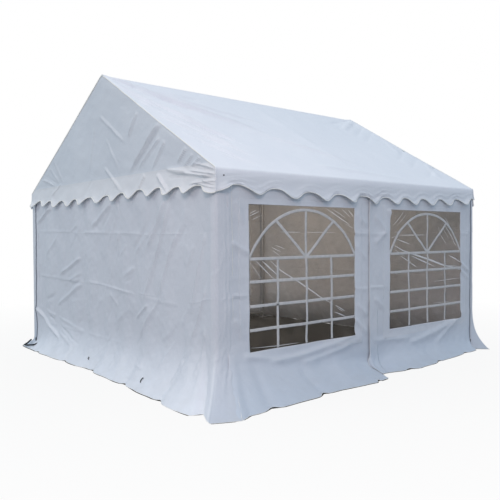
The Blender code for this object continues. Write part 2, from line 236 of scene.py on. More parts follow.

# Folds traced on the photo, in its pixels: from and to, then height and width in metres,
# and where they aren't the usual ones the skew and bend.
FRONT_FOLD_LINES = (
    (168.8, 197.5, 146, 254, 0.0234, 0.024, -0.5), (160, 205, 132.5, 256, -0.018, 0.02),
    (173, 200, 143, 303, 0.0252, 0.017, -0.5, 0.03), (181, 228, 158, 303, 0.0198, 0.017, -0.5),
    (164, 290, 137, 348, 0.0162, 0.018, -0.5), (189, 224, 180, 243, -0.014, 0.014),
    (190, 243, 186.5, 268, 0.0072, 0.014, -0.5), (207.5, 230, 192, 308, 0.018, 0.017, -0.5),
    (194.5, 308, 190, 325, -0.012, 0.014), (208.5, 284, 192.5, 349, 0.0198, 0.015, -0.5),
    (189.5, 360, 184.5, 393, 0.0144, 0.016, -0.5), (209, 326, 202.5, 385, 0.0126, 0.015, -0.5),
    (207.5, 350, 206, 410, 0.0108, 0.016, -0.5), (191, 298, 180, 336, 0.0081, 0.02, -0.5),
    (182, 330, 165, 376, 0.0099, 0.022, -0.5), (114.5, 203, 92.5, 230, 0.022, 0.026),
    (113, 210, 104, 229, -0.014, 0.018), (119.4, 211, 110, 247, 0.0126, 0.016, -0.5),
    (122.5, 231, 117, 249, 0.0081, 0.014, -0.5), (128.8, 244, 123, 257, 0.009, 0.014),
    (54, 207.5, 38.8, 226, 0.024, 0.018), (84, 258, 60, 277.5, 0.02, 0.02),
    (84.5, 274, 69, 283.5, 0.011, 0.014), (85, 281, 41, 304, -0.016, 0.018),
    (86, 284.5, 57, 307, 0.016, 0.018), (39, 306, 67.5, 344, 0.032, 0.02),
    (62, 331, 79, 347.5, 0.015, 0.012), (43.8, 307, 87, 348.5, -0.015, 0.013),
    (41, 305, 92, 334, 0.009, 0.016), (137, 267, 125.5, 276.5, 0.011, 0.014),
    (139, 273, 127, 281.5, -0.009, 0.012), (151.5, 302, 137.5, 319.5, 0.015, 0.012),
    (112, 291, 121.5, 306, 0.007, 0.014), (144, 366, 158, 374, 0.011, 0.012),
    (141, 383.5, 168, 389.5, -0.009, 0.01), (183, 399.5, 206, 408, 0.011, 0.012),
    (165, 401.5, 184.5, 399.5, -0.012, 0.009), (60, 238, 48.5, 257, 0.01, 0.016),
    (80, 234, 68.5, 258, -0.012, 0.014), (80, 225.5, 72, 232.5, 0.011, 0.014),
    (91, 199, 91.5, 212, -0.01, 0.01), (119, 198, 119.5, 209, 0.012, 0.01),
    (121.5, 200, 123, 222, -0.012, 0.01),
)
GABLE_FOLD_LINES = (
    (99.5, 115.5, 126.5, 143, 0.015, 0.012), (137.5, 111, 127.5, 141, 0.017, 0.017),
    (133, 103, 126.5, 114, -0.011, 0.012), (139, 107, 132, 119, -0.011, 0.012),
    (129.5, 100, 120, 106.5, -0.009, 0.012), (160.4, 121.1, 128.5, 174.5, 0.03, 0.015, -0.2),
    (162.8, 124.6, 133, 173.5, -0.022, 0.015), (161, 137, 137, 170.5, 0.015, 0.017),
    (166, 140, 152, 171.5, 0.015, 0.015), (146, 118, 141, 128, -0.009, 0.012),
    (152.5, 121, 147, 131, -0.009, 0.012), (186.5, 147.5, 177, 164.5, 0.017, 0.01),
    (183, 145, 176.5, 156, -0.011, 0.01), (189.5, 150.5, 181, 165, -0.013, 0.009),
    (193, 154, 184, 167.5, 0.013, 0.009), (196.5, 155, 188, 167, -0.011, 0.008),
    (200, 157, 191.5, 167.5, 0.011, 0.008), (205.5, 160, 197, 168, -0.011, 0.008),
    (215.5, 168.5, 192, 162.5, 0.011, 0.008), (215.5, 171, 189, 166, -0.011, 0.008),
    (215, 173.8, 188, 170.2, 0.015, 0.009), (213, 176.5, 166, 171, 0.022, 0.013),
    (188, 171, 165, 169.8, 0.016, 0.012), (216, 177.8, 195, 178.3, -0.014, 0.008),
    (216, 180.5, 189, 184.5, 0.015, 0.01), (214, 184.5, 202, 179, 0.011, 0.009),
    (215, 188, 196, 182.5, 0.012, 0.009), (190, 175.5, 168, 177.5, -0.012, 0.012),
    (104.5, 167, 124, 193, 0.017, 0.012), (157.5, 173, 172, 194, 0.024, 0.015),
    (145.5, 174.5, 140, 190, 0.015, 0.012), (93, 180, 84, 197, -0.009, 0.01),
    (61.5, 184.5, 52, 197, 0.011, 0.009), (43, 179.5, 56, 186, 0.015, 0.01),
    (45.5, 175.5, 59, 185, -0.013, 0.009), (54, 161, 63, 182.5, 0.011, 0.009),
    (57.5, 164, 64.5, 182.5, -0.009, 0.009), (49.5, 167, 60.5, 184, 0.009, 0.01),
    (95, 127, 89, 178, 0.008, 0.014), (105.5, 138, 121, 172, 0.008, 0.012),
)
ROOF_FOLD_LINES = (
    (157, 96, 200, 112, -0.014, 0.018), (148, 101, 244, 144, -0.022, 0.016),
    (146, 104, 214, 134, -0.018, 0.016), (196, 139, 266, 168, -0.018, 0.016),
    (220, 152, 254, 165, -0.012, 0.014), (136, 91, 186, 105, -0.014, 0.018),
    (128, 87, 210, 101, -0.018, 0.024), (166, 116, 236, 150, -0.01, 0.014),
    (180, 130, 240, 155, 0.01, 0.016), (140, 98, 200, 122, 0.012, 0.016),
    (352, 120, 326, 123.5, -0.012, 0.026), (356, 123, 347, 131, -0.01, 0.024),
    (363, 127, 356, 137, -0.01, 0.024), (372, 132, 366, 142, -0.008, 0.024),
    (404, 149, 399, 161, -0.01, 0.024), (418, 157, 412, 168, -0.008, 0.024),
    (434, 166, 429, 178, -0.01, 0.024),
)

# Creases in the right side's films, which are also drawn as white lines of painted glint: the width, then the
# pixels along each.
CREASE_LINES = {
    "front": (
        (0.011, (269.4, 260.7), (279.4, 269.8), (304.8, 287), (321, 297.5), (333, 304.3)),
        (0.009, (253.9, 260.7), (270, 276)), (0.009, (260.3, 260.7), (278, 276)),
        (0.005, (248.5, 261.6), (260.5, 279.3)), (0.004, (268, 275), (276.5, 280.5)),
        (0.004, (262.5, 262), (270.5, 268.5)), (0.006, (334, 304.8), (343.8, 311)),
        (0.008, (333.5, 311.8), (345, 316.6)), (0.004, (335.5, 307.5), (342, 311.5)),
        (0.009, (325.5, 208.8), (349, 225)), (0.005, (330.5, 208.7), (345, 218)),
        (0.006, (340.8, 208.8), (350, 217.5)), (0.008, (347, 209.5), (356, 217.5)),
        (0.004, (344.5, 224), (353, 228.5)), (0.006, (248.4, 216.2), (259, 211.2)),
        (0.005, (249, 213.5), (256.5, 209.8)), (0.004, (250, 220), (262, 215)),
        (0.005, (270.8, 247.2), (280, 252)), (0.005, (272, 250.5), (280, 256.5)),
        (0.004, (274, 245), (284, 249)), (0.004, (249, 255), (254, 247)),
        (0.005, (279, 232), (300, 232.2)), (0.004, (304, 232.3), (336, 232.6)),
        (0.006, (250, 348), (274.5, 346), (298, 342.4)),
    ),
    "back": (
        (0.019, (392.5, 245.3), (401.5, 250.3), (426, 258.8), (442, 265), (452, 267.2), (459.3, 269.6)),
        (0.012, (403, 251.2), (412, 254), (426, 259.2), (444, 266)),
        (0.013, (410, 255.7), (420, 260.3), (433, 266.2)),
        (0.009, (399, 255.5), (408.4, 261.8), (416.5, 267.6)),
        (0.014, (443.5, 217.5), (446.8, 223.4), (452, 232.6), (458, 246.5)),
        (0.012, (442, 223.5), (449, 234), (455.8, 246.5)),
        (0.012, (448, 255.4), (454.5, 258.8), (461, 262)), (0.009, (395.5, 239.2), (409, 244.3)),
        (0.008, (398.5, 235.2), (424, 235)), (0.005, (393.5, 232), (400.5, 232)),
        (0.007, (402.5, 211.5), (392, 226)), (0.005, (405, 214), (396, 226)),
        (0.006, (437, 227), (440, 236), (445, 244.5)), (0.005, (440.5, 226), (447, 238)),
        (0.006, (432, 281.2), (458, 278)), (0.008, (390.3, 270.8), (396.3, 274.3)),
        (0.006, (444, 265.5), (460.3, 266)), (0.005, (390, 238), (395, 236.4)),
        (0.005, (392, 249), (404, 256.5)), (0.004, (431, 303), (449, 301)),
    ),
}

# Folds given in metres: from and to, height, width, skew and bend. A place is (x, height)
# on the front, (y, height) on the sides and (y, x) on the roof.
LEVEL_FOLDS = (
    ((-1.76, 1.449), (-0.50, 1.440), 0.0035, 0.012),
    ((-0.48, 1.440), (0.16, 1.446), 0.005, 0.013, 0.4),
    ((0.20, 1.440), (1.05, 1.410), 0.0035, 0.012, 0.0, 0.006),
    ((-1.78, 0.888), (-0.38, 0.884), 0.0045, 0.013),
    ((-0.45, 0.890), (0.90, 0.836), 0.006, 0.014, 0.4, 0.008),
    ((0.80, 0.840), (1.75, 0.812), 0.0035, 0.013),
    ((-1.75, 0.330), (0.60, 0.300), 0.0030, 0.013, 0.0, 0.01),
)
SIDE_FOLDS = {
    "front": (
        ((-1.85, 0.888), (-1.66, 0.878), 0.005, 0.012),
        ((-1.86, 1.34), (-1.62, 1.22), 0.006, 0.02),
        ((-0.30, 1.404), (-0.02, 1.404), 0.004, 0.012),
        ((-0.30, 0.853), (-0.02, 0.842), 0.004, 0.012),
        ((-1.50, 0.26), (-0.05, 0.44), 0.010, 0.035, 0.4, -0.03),
        ((-1.10, 0.20), (-0.05, 0.40), 0.008, 0.03, 0.3, -0.03),
        ((-0.28, 0.56), (-0.03, 0.36), 0.006, 0.025),
        ((-1.75, 0.36), (-1.20, 0.24), 0.006, 0.03),
        ((-0.24, 1.62), (-0.06, 1.46), 0.006, 0.03),
        ((-0.24, 0.70), (-0.05, 0.56), 0.006, 0.03),
        ((-0.26, 1.30), (-0.06, 1.12), 0.005, 0.025),
        ((-1.80, 1.70), (-1.70, 1.45), 0.005, 0.025),
        ((-1.82, 0.70), (-1.70, 0.50), 0.005, 0.025),
    ),
    "back": (
        ((-0.04, 1.404), (0.30, 1.400), 0.004, 0.012),
        ((-0.04, 0.855), (0.30, 0.845), 0.004, 0.012),
        ((1.70, 1.404), (1.90, 1.400), 0.004, 0.012),
        ((0.26, 1.66), (0.42, 1.56), 0.008, 0.03),
        ((1.66, 1.06), (1.92, 0.93), 0.008, 0.02),
        ((1.66, 0.98), (1.90, 0.84), 0.006, 0.02),
        ((0.02, 0.30), (0.70, 0.26), 0.006, 0.03),
        ((0.60, 0.20), (1.75, 0.44), 0.009, 0.04, 0.3, -0.03),
        ((1.10, 0.12), (1.85, 0.52), 0.007, 0.035, 0.3),
        ((0.05, 1.30), (0.26, 1.44), 0.006, 0.025),
        ((0.05, 1.60), (0.28, 1.40), 0.005, 0.03),
        ((0.04, 0.74), (0.24, 0.60), 0.005, 0.025),
    ),
}
ROOF_LONG_FOLDS = (
    ((-2.02, 0.02), (-0.35, 1.10), 0.030, 0.024, 0.4, 0.03),
    ((-2.00, 0.22), (-1.20, 1.20), 0.022, 0.020, 0.3, 0.03),
    ((-1.98, 0.38), (-1.10, 1.45), 0.020, 0.020, 0.3),
    ((-1.95, 0.55), (-1.25, 1.60), 0.020, 0.020, 0.3, 0.02),
    ((-1.92, 0.90), (-1.25, 1.70), 0.018, 0.020, 0.3),
    ((-2.00, 0.04), (-0.20, 0.75), 0.020, 0.022, 0.3, 0.02),
    ((-1.60, 0.30), (0.10, 1.55), 0.016, 0.034, 0.3),
    ((-0.90, 0.90), (0.40, 1.70), 0.014, 0.036, 0.3),
    ((1.98, 0.05), (1.30, 0.45), 0.018, 0.035, 0.3),
    ((1.98, 0.60), (1.70, 1.10), 0.012, 0.030, 0.3),
    ((1.95, 1.30), (1.60, 1.75), 0.014, 0.035, 0.3),
    ((-0.60, 1.70), (0.90, 1.88), 0.014, 0.040, 0.3),
)
USUAL_SKEW = 0.4

# How many times as tall as listed the folds are made.
LEVEL_STRENGTH = 1.4
SIDE_STRENGTH = 2.6
GABLE_STRENGTH = 1.1


def camera_axes():
    """The camera's directions to its right, up and forward."""
    level = math.cos(CAMERA_PITCH)
    forward = np.array([math.sin(CAMERA_YAW) * level, math.cos(CAMERA_YAW) * level, math.sin(CAMERA_PITCH)])
    right = np.array([math.cos(CAMERA_YAW), -math.sin(CAMERA_YAW), 0])
    up = np.cross(right, forward)
    turned_right = right * math.cos(CAMERA_ROLL) + up * math.sin(CAMERA_ROLL)
    turned_up = up * math.cos(CAMERA_ROLL) - right * math.sin(CAMERA_ROLL)
    return turned_right, turned_up, forward


def traced(pixel, plane):
    """Where a pixel of the photo lies on one of the tent's planes, to the millimetre."""
    normal, offset, axes = PLANES[plane]
    right, up, forward = camera_axes()
    middle = PHOTO_WIDTH / 2
    reach = CAMERA_SENSOR / CAMERA_LENS / PHOTO_WIDTH
    way = forward + (right * (pixel[0] - middle) + up * (middle - pixel[1])) * reach
    point = CAMERA_PLACE + way * (offset - CAMERA_PLACE @ normal) / (way @ normal)
    return tuple(round(float(point[axis]), 3) for axis in axes)


def traced_folds(lines, plane):
    """The folds of traced lines, in metres. A raised fold has the usual skew unless one is given."""
    rows = []
    for from_x, from_y, to_x, to_y, height, width, *shape in lines:
        shape = shape or [USUAL_SKEW if height > 0 else 0.0]
        ends = traced((from_x, from_y), plane), traced((to_x, to_y), plane)
        rows.append((*ends, height, width, *shape))
    return rows


def smooth(value):
    """Eases from 0 to 1 as value goes from 0 to 1."""
    value = np.clip(value, 0.0, 1.0)
    return value * value * (3 - 2 * value)


def hump(value, width):
    """1 where value is 0, falling off smoothly on both sides over about this width."""
    return np.exp(-((value / width) ** 2))


def ripple(u, v, size, seed, turns=7):
    """Smooth unevenness of about plus or minus one, with bumps of about this size."""
    random = np.random.default_rng(seed)
    total = np.zeros(np.broadcast(u, v).shape)
    for _ in range(turns):
        angle = random.uniform(0, math.pi)
        wavelength = size * random.uniform(0.7, 1.6)
        phase = random.uniform(0, 2 * math.pi)
        across = u * math.cos(angle) + v * math.sin(angle)
        total += np.sin(2 * math.pi * across / wavelength + phase)
    return total / math.sqrt(turns)


def fold(u, v, start, end, height, width, skew=0.0, bend=0.0):
    """A fold of this height along a line from start to end, steeper on one side if skewed."""
    run_u = end[0] - start[0]
    run_v = end[1] - start[1]
    length = math.hypot(run_u, run_v)
    along = ((u - start[0]) * run_u + (v - start[1]) * run_v) / length**2
    across = ((u - start[0]) * run_v - (v - start[1]) * run_u) / length
    across = across + bend * 4 * along * (1 - along)
    wide = width * np.where(across > 0, 1 + skew, 1 - skew)
    fade = smooth(along / 0.12) * smooth((1 - along) / 0.3)
    return height * fade * np.exp(-((np.abs(across) / wide) ** 1.6))


def folds(u, v, rows):
    total = np.zeros(np.broadcast(u, v).shape)
    for row in rows:
        total += fold(u, v, *row)
    return total


def scattered_folds(u, v, seed, count, low, high, length, height, width, lean):
    """Folds at random places between low and high, all leaning about the same way."""
    random = np.random.default_rng(seed)
    total = np.zeros(np.broadcast(u, v).shape)
    for _ in range(count):
        start = [random.uniform(low[i], high[i]) for i in (0, 1)]
        angle = lean + random.normal(0, 0.35)
        run = length * random.uniform(0.5, 1.4)
        end = (start[0] + run * math.cos(angle), start[1] + run * math.sin(angle))
        tall = height * random.uniform(0.4, 1.2) * random.choice((-1, 1), p=(0.3, 0.7))
        wide = width * random.uniform(0.6, 1.6)
        total += fold(u, v, start, end, tall, wide, random.uniform(-0.65, 0.65), random.normal(0, 0.03))
    return total


def spaced(low, high, step, stops=()):
    """Values from low to high about step apart, which also meet each of the stops."""
    stops = [low, *[stop for stop in sorted(stops) if low < stop < high], high]
    marks = [stops[0], *[b for a, b in zip(stops, stops[1:]) if b - a > 0.0005]]
    values = [low]
    for start, end in zip(marks, marks[1:]):
        count = max(1, round((end - start) / step))
        values += [start + (end - start) * i / count for i in range(1, count + 1)]
    return np.array(values)


def run_along(path):
    """The length along a path, from its start to each of its points."""
    return np.concatenate([[0], np.cumsum(np.linalg.norm(np.diff(path, axis=0), axis=1))])


def stand_off(relief, z):
    """How far the outer face of a wall lies off the tubes: close to them at its very top."""
    return CLEARANCE + CLOTH + smooth((TUCK_Z - z) / TUCK) * (SLACK + np.maximum(relief, -SLACK))


def surface_normals(points):
    normal = np.cross(np.gradient(points, axis=1), np.gradient(points, axis=0))
    return normal / np.maximum(np.linalg.norm(normal, axis=2, keepdims=True), 1e-9)


def new_object(name, data):
    made = bpy.data.objects.new(name, data)
    bpy.context.scene.collection.objects.link(made)
    return made


def mark(made, replaced=None):
    """Says that a piece rides on the tent's one body, and the solid that it replaces."""
    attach(made, "root")
    if replaced:
        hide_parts(replaced)
    return made


def grid_object(name, points, coordinates, look, keep=None, flip=False, thickness=CLOTH):
    """A sheet through a grid of points. coordinates are its flat lengths in metres."""
    across, down = points.shape[:2]
    index = np.arange(across * down).reshape(across, down)
    quads = np.stack([index[:-1, :-1], index[:-1, 1:], index[1:, 1:], index[1:, :-1]], axis=-1)
    quads = quads[keep] if keep is not None else quads.reshape(-1, 4)
    if flip:
        quads = quads[:, ::-1]
    used = np.unique(quads)
    renumber = np.full(across * down, -1)
    renumber[used] = np.arange(len(used))
    mesh = bpy.data.meshes.new(name)
    mesh.from_pydata(points.reshape(-1, 3)[used].tolist(), [], renumber[quads].tolist())
    flat = np.stack(np.broadcast_arrays(*coordinates), axis=-1).reshape(-1, 2)[used]
    corners = np.empty(len(mesh.loops), dtype=np.int32)
    mesh.loops.foreach_get("vertex_index", corners)
    mesh.uv_layers.new(name="flat").data.foreach_set("uv", flat[corners].ravel())
    mesh.shade_smooth()
    mesh.materials.append(look)
    made = new_object(name, mesh)
    if thickness:
        solid = made.modifiers.new("thickness", "SOLIDIFY")
        solid.thickness = thickness
        solid.offset = -1
    return made


def bead(name, path, radius, look, sides=6, closed=False):
    """A round bead of this radius through the points of path."""
    path = np.asarray(path, float)
    curve = bpy.data.curves.new(name, "CURVE")
    curve.dimensions = "3D"
    curve.bevel_depth = radius
    curve.bevel_resolution = sides // 2 - 2
    curve.use_fill_caps = True
    curve.materials.append(look)
    spline = curve.splines.new("POLY")
    spline.points.add(len(path) - 1)
    spline.points.foreach_set("co", np.c_[path, np.ones(len(path))].ravel())
    spline.use_cyclic_u = closed
    return mark(new_object(name, curve))


def merged(name, pieces):
    """Joins pieces into one, with their modifiers applied."""
    graph = bpy.context.evaluated_depsgraph_get()
    applied = [new_object(name, bpy.data.meshes.new_from_object(piece.evaluated_get(graph)))
               for piece in pieces]
    for piece in pieces:
        bpy.data.objects.remove(piece, do_unlink=True)
    with bpy.context.temp_override(active_object=applied[0], selected_editable_objects=applied):
        bpy.ops.object.join()
    applied[0].name = name
    return applied[0]


def feed(tree, made, inputs):
    """Gives a node's sockets another node's output, or a value of their own."""
    for key, value in inputs.items():
        if isinstance(value, bpy.types.NodeSocket):
            tree.links.new(value, made.inputs[key])
        else:
            made.inputs[key].default_value = value


def node(tree, kind, inputs=None, **settings):
    made = tree.nodes.new(kind)
    for key, value in settings.items():
        setattr(made, key, value)
    feed(tree, made, inputs or {})
    return made


def noise(tree, place, scale, detail=4.0, roughness=0.55, kind="FBM"):
    inputs = {"Vector": place, "Scale": scale, "Detail": detail, "Roughness": roughness}
    return node(tree, "ShaderNodeTexNoise", inputs, noise_type=kind).outputs[0]


def span(tree, value, low, high, new_low, new_high):
    inputs = {"Value": value, "From Min": low, "From Max": high, "To Min": new_low, "To Max": new_high}
    return node(tree, "ShaderNodeMapRange", inputs).outputs[0]


def mixed(tree, factor, first, second):
    first, second = (value if isinstance(value, bpy.types.NodeSocket) else (*value, 1)
                     for value in (first, second))
    inputs = {"Factor": factor, 6: first, 7: second}
    return node(tree, "ShaderNodeMix", inputs, data_type="RGBA").outputs[2]


def bump(tree, height, strength, distance, below=None):
    inputs = {"Height": height, "Strength": strength, "Distance": distance}
    if below:
        inputs["Normal"] = below
    return node(tree, "ShaderNodeBump", inputs).outputs[0]


def maths(tree, operation, first, second, clamp=False):
    inputs = {0: first, 1: second}
    return node(tree, "ShaderNodeMath", inputs, operation=operation, use_clamp=clamp).outputs[0]


def weave(tree, flat, threads):
    """The height of a plain weave with this many threads a metre."""
    inputs = {"Scale": threads / 20, "Vector": flat}
    across, along = (node(tree, "ShaderNodeTexWave", inputs, bands_direction=direction).outputs[1]
                     for direction in ("X", "Y"))
    return maths(tree, "ADD", across, along)


def new_material(name):
    """A material, its nodes, its shader, and the place of each point."""
    made = bpy.data.materials.new(name)
    made.use_nodes = True
    tree = made.node_tree
    place = node(tree, "ShaderNodeNewGeometry").outputs["Position"]
    return made, tree, tree.nodes["Principled BSDF"], place


def cloth_material(name, colour, shade, soil=0.05, crumple=0.5, foot=None):
    """Coated tarpaulin: a faint weave, small crumples, uneven whiteness and soil near the ground.

    foot is the heights between which the cloth's colour turns, and the colour below, which on the
    roof and the walls is painted light and shade; with two colours, the second is for the right of
    the front's right corner."""
    made, tree, shader, place = new_material(name)
    flat = node(tree, "ShaderNodeTexCoord").outputs["UV"]
    tone = mixed(tree, span(tree, noise(tree, place, 1.3, 3), 0.35, 0.65, 0, 1), colour, shade)
    grain = span(tree, noise(tree, place, 55, 3), 0.3, 0.7, 0, 0.35)
    tone = mixed(tree, grain, tone, [channel * 0.93 for channel in shade])
    x, y, height = node(tree, "ShaderNodeSeparateXYZ", {0: place}).outputs
    # The colour below the foot's heights: on the roof and the walls this is painted light and shade.
    if foot:
        top, bottom, *colours = foot
        turned = colours[0]
        if len(colours) > 1:
            turned = mixed(tree, span(tree, maths(tree, "ADD", x, y), -0.07, -0.05, 0, 1), *colours)
        tone = mixed(tree, span(tree, height, top, bottom, 0, 1), tone, turned)
    low = span(tree, height, 0.0, 0.22, 1, 0)
    stain = span(tree, noise(tree, place, 9, 5), 0.38, 0.72, 0, 1)
    amount = span(tree, maths(tree, "MULTIPLY", low, stain), 0, 1, 0, soil)
    small = bump(tree, noise(tree, place, 16, 6, 0.6, "RIDGED_MULTIFRACTAL"), crumple, 0.004)
    finer = bump(tree, noise(tree, place, 70, 4), 0.25, 0.0012, small)
    feed(tree, shader, {
        "Base Color": mixed(tree, amount, tone, (0.36, 0.33, 0.27)),
        "Roughness": span(tree, noise(tree, place, 5, 4), 0.3, 0.7, 0.42, 0.6),
        "Specular IOR Level": 0.35,
        "Sheen Weight": 0.08,
        "Normal": bump(tree, weave(tree, flat, 700), 0.18, 0.0004, finer),
    })
    return made


def film_material():
    """Clear flexible film: a faint brown haze, thicker higher up, with long lines of painted glint and small
    wrinkles.
    """
    made, tree, shader, place = new_material("window_film")
    cloud = span(tree, noise(tree, place, 2.6, 4), 0.35, 0.65, 0, 1)
    # Long diagonal lines where the film turns more opaque: painted glints.
    turned = {"Vector": place, "Rotation": (0.62, 0, 0), "Scale": (1, 0.22, 1)}
    drawn = node(tree, "ShaderNodeMapping", turned).outputs[0]
    glint_streaks = span(tree, noise(tree, drawn, 11, 5, 0.6), 0.58, 0.74, 0, 0.16)
    height = node(tree, "ShaderNodeSeparateXYZ", {0: place}).outputs[2]
    upper = span(tree, height, 0.7, 1.6, -0.05, 0.16)
    clear = span(tree, noise(tree, place, 6, 5), 0.3, 0.7, 0.16, 0.30)
    small = bump(tree, noise(tree, place, 7, 5, 0.6, "RIDGED_MULTIFRACTAL"), 0.35, 0.006)
    feed(tree, shader, {
        "Base Color": mixed(tree, cloud, (0.29, 0.24, 0.18), (0.37, 0.31, 0.24)),
        "Alpha": maths(tree, "ADD", maths(tree, "ADD", clear, upper), glint_streaks, True),
        "Roughness": 0.14,
        "Normal": bump(tree, noise(tree, place, 40, 3), 0.1, 0.001, small),
    })
    return made


def plain_material(name, colour, roughness, scale=30.0, alpha=1.0):
    """Moulded plastic, rubber or bare ground, with a little mottle and grain."""
    made, tree, shader, place = new_material(name)
    mottle = span(tree, noise(tree, place, scale, 4), 0.3, 0.7, 0, 1)
    rough = span(tree, noise(tree, place, scale * 2, 3), 0.3, 0.7, roughness, roughness * 1.35)
    feed(tree, shader, {
        "Base Color": mixed(tree, mottle, colour, [channel * 0.82 for channel in colour]),
        "Roughness": rough,
        "Alpha": alpha,
        "Normal": bump(tree, noise(tree, place, scale * 8, 3), 0.3, 0.0006),
    })
    return made


def steel_material():
    """Galvanised tube: a grey crystal bloom under a dull shine."""
    made, tree, shader, place = new_material("galvanised_steel")
    bloom = node(tree, "ShaderNodeTexVoronoi", {"Scale": 90, "Vector": place})
    flake = span(tree, bloom.outputs["Distance"], 0, 0.7, 0, 1)
    feed(tree, shader, {
        "Base Color": mixed(tree, flake, (0.60, 0.62, 0.64), (0.44, 0.46, 0.48)),
        "Roughness": span(tree, flake, 0, 1, 0.34, 0.52),
        "Metallic": 0.9,
        "Normal": bump(tree, noise(tree, place, 200, 3), 0.2, 0.0004),
    })
    return made


WHITE, SHADED = (0.70, 0.72, 0.765), (0.655, 0.675, 0.72)
# The roof's cloth is painted lighter than the same cloth on the walls and gables, for the light from above;
# below the eave, on its valance, it turns darker: painted shade.
ROOF = cloth_material(
    "roof_cloth", (0.89, 0.90, 0.94), (0.86, 0.875, 0.92), crumple=0.35, foot=(1.93, 1.87, (0.75, 0.77, 0.81))
)
GABLE = cloth_material(
    "gable_cloth", (0.70, 0.735, 0.78), (0.655, 0.69, 0.735), foot=(2.0, 1.992, (0.775, 0.785, 0.805))
)
# Below 0.46 m the wall cloth is painted lighter, a painted highlight where the front's skirt leans up to the
# light, and painted darker past the front's right corner: painted shade.
WALL = cloth_material(
    "wall_cloth", WHITE, SHADED, soil=0.12, foot=(0.46, 0.03, (0.80, 0.83, 0.88), (0.57, 0.61, 0.68))
)
# Below 0.46 m the side walls' skirt is painted darker and bluer: painted shade, tinted like the sky's light.
SIDE_WALL = cloth_material(
    "side_wall_cloth", WHITE, SHADED, soil=0.10, foot=(0.46, 0.03, (0.57, 0.63, 0.715))
)
HEM = cloth_material("hem_tape", (0.93, 0.92, 0.88), (0.86, 0.85, 0.80), crumple=0.2)
BAND = cloth_material("weld_band", (0.71, 0.73, 0.775), (0.665, 0.685, 0.73), crumple=0.2)
BAR = plain_material("window_bar", (0.64, 0.63, 0.62), 0.4)
FILM = film_material()
# White lines on the films' creases: painted glints.
CREASE_GLINT = plain_material("film_crease_glint", (0.95, 0.95, 0.95), 0.3, alpha=0.75)
BLACK = plain_material("black_elastic", (0.02, 0.02, 0.022), 0.6)
ZIP = plain_material("zip_teeth", (0.15, 0.165, 0.20), 0.45)
ZIP_TAPE = plain_material("zip_tape", (0.40, 0.44, 0.52), 0.7)
STEEL = steel_material()


def wall_rows(step):
    """The rows of a wall from the eave down: how far down the skirt, height, and cloth length."""
    levels = [-box[i][2] for box in WINDOWS.values() for i in (0, 1)]
    levels += [-(level + shift) for level in CREASES for shift in CREASE_ROWS]
    upright = -spaced(-EAVE_Z, -SKIRT_HEIGHT, step, levels)
    below = [-box[0][2] for box in WINDOWS.values()] + [-z for z in LOW_ROWS]
    lower = -spaced(-SKIRT_HEIGHT, 0, step * SKIRT_HEIGHT / SKIRT_LENGTH, below)[1:]
    height = np.concatenate([upright, lower])
    share = np.clip(1 - height / SKIRT_HEIGHT, 0, 1)
    length = np.where(share > 0, SKIRT_HEIGHT - SKIRT_LENGTH * share**1.15, height)
    return share, height, length


def straight(start, end, normal, step, stops=()):
    """Places along one side of the plan, on the line of its posts, and the way out at each."""
    axis = 0 if normal[0] == 0 else 1
    values = spaced(min(start, end), max(start, end), step, stops)
    if start > end:
        values = values[::-1]
    places = np.zeros((len(values), 2))
    places[:, axis] = values
    other = 1 - axis
    places[:, other] = normal[other] * (POST_Y if other else POST_X)
    return places, np.tile(np.array(normal, float), (len(values), 1))


def corner(sign_x, sign_y, steps):
    """Places round one corner post, anticlockwise seen from above, and the way out at each."""
    middle = math.atan2(sign_y, sign_x)
    angles = middle + (np.linspace(0, 1, steps + 1) - 0.5) * math.pi / 2
    places = np.tile(np.array([sign_x * POST_X, sign_y * POST_Y]), (len(angles), 1))
    return places, np.stack([np.cos(angles), np.sin(angles)], axis=1)


def joined(*parts):
    """One plan out of parts that follow each other, without the places that two of them share."""
    places, normals = (np.concatenate(group) for group in zip(*parts))
    steps = [np.linalg.norm(np.diff(group, axis=0), axis=1) for group in (places, normals)]
    keep = np.concatenate([[True], sum(steps) > 1e-6])
    return places[keep], normals[keep]


def by_side(places, normals, right_row, front_row, hidden):
    """A value for each place, along the side or the end that it lies on."""
    right = np.interp(places[:, 1], *zip(*right_row))
    front = np.interp(places[:, 0], *zip(*front_row))
    along_side = np.where(normals[:, 0] > 0, right, hidden["left"])
    along_end = np.where(normals[:, 1] < 0, front, hidden["back"])
    return along_side, along_end


def skirt_curve(places, normals):
    side, end = by_side(places, normals, RIGHT_CURVE, FRONT_CURVE, HIDDEN_CURVE)
    share = normals[:, 0] ** 2
    return side * share + end * (1 - share)


def skirt_ways(places, normals):
    """The level direction in which each place's skirt runs out."""
    side, end = by_side(places, normals, RIGHT_FAN, FRONT_FAN, HIDDEN_FAN)
    bearing = np.arctan2(normals[:, 1], normals[:, 0])
    share = (bearing + math.pi / 2) / (math.pi / 2)
    right_side = (places[:, 0] > 0) & (np.abs(share - 0.5) < 0.51)
    bearing = bearing + np.where(right_side, end * (1 - share) - side * share, 0)
    return np.stack([np.cos(bearing), np.sin(bearing)], axis=1)


def edge_notches(places, normals):
    """How much the skirt's edge draws in at each place."""
    total = np.zeros(len(places))
    for axis, notches in ((1, RIGHT_NOTCHES), (0, FRONT_NOTCHES)):
        faces = np.abs(normals[:, 1 - axis]) > 0.99
        for notch in notches:
            total += faces * hump(places[:, axis] - notch, NOTCH_WIDTH)
    return total


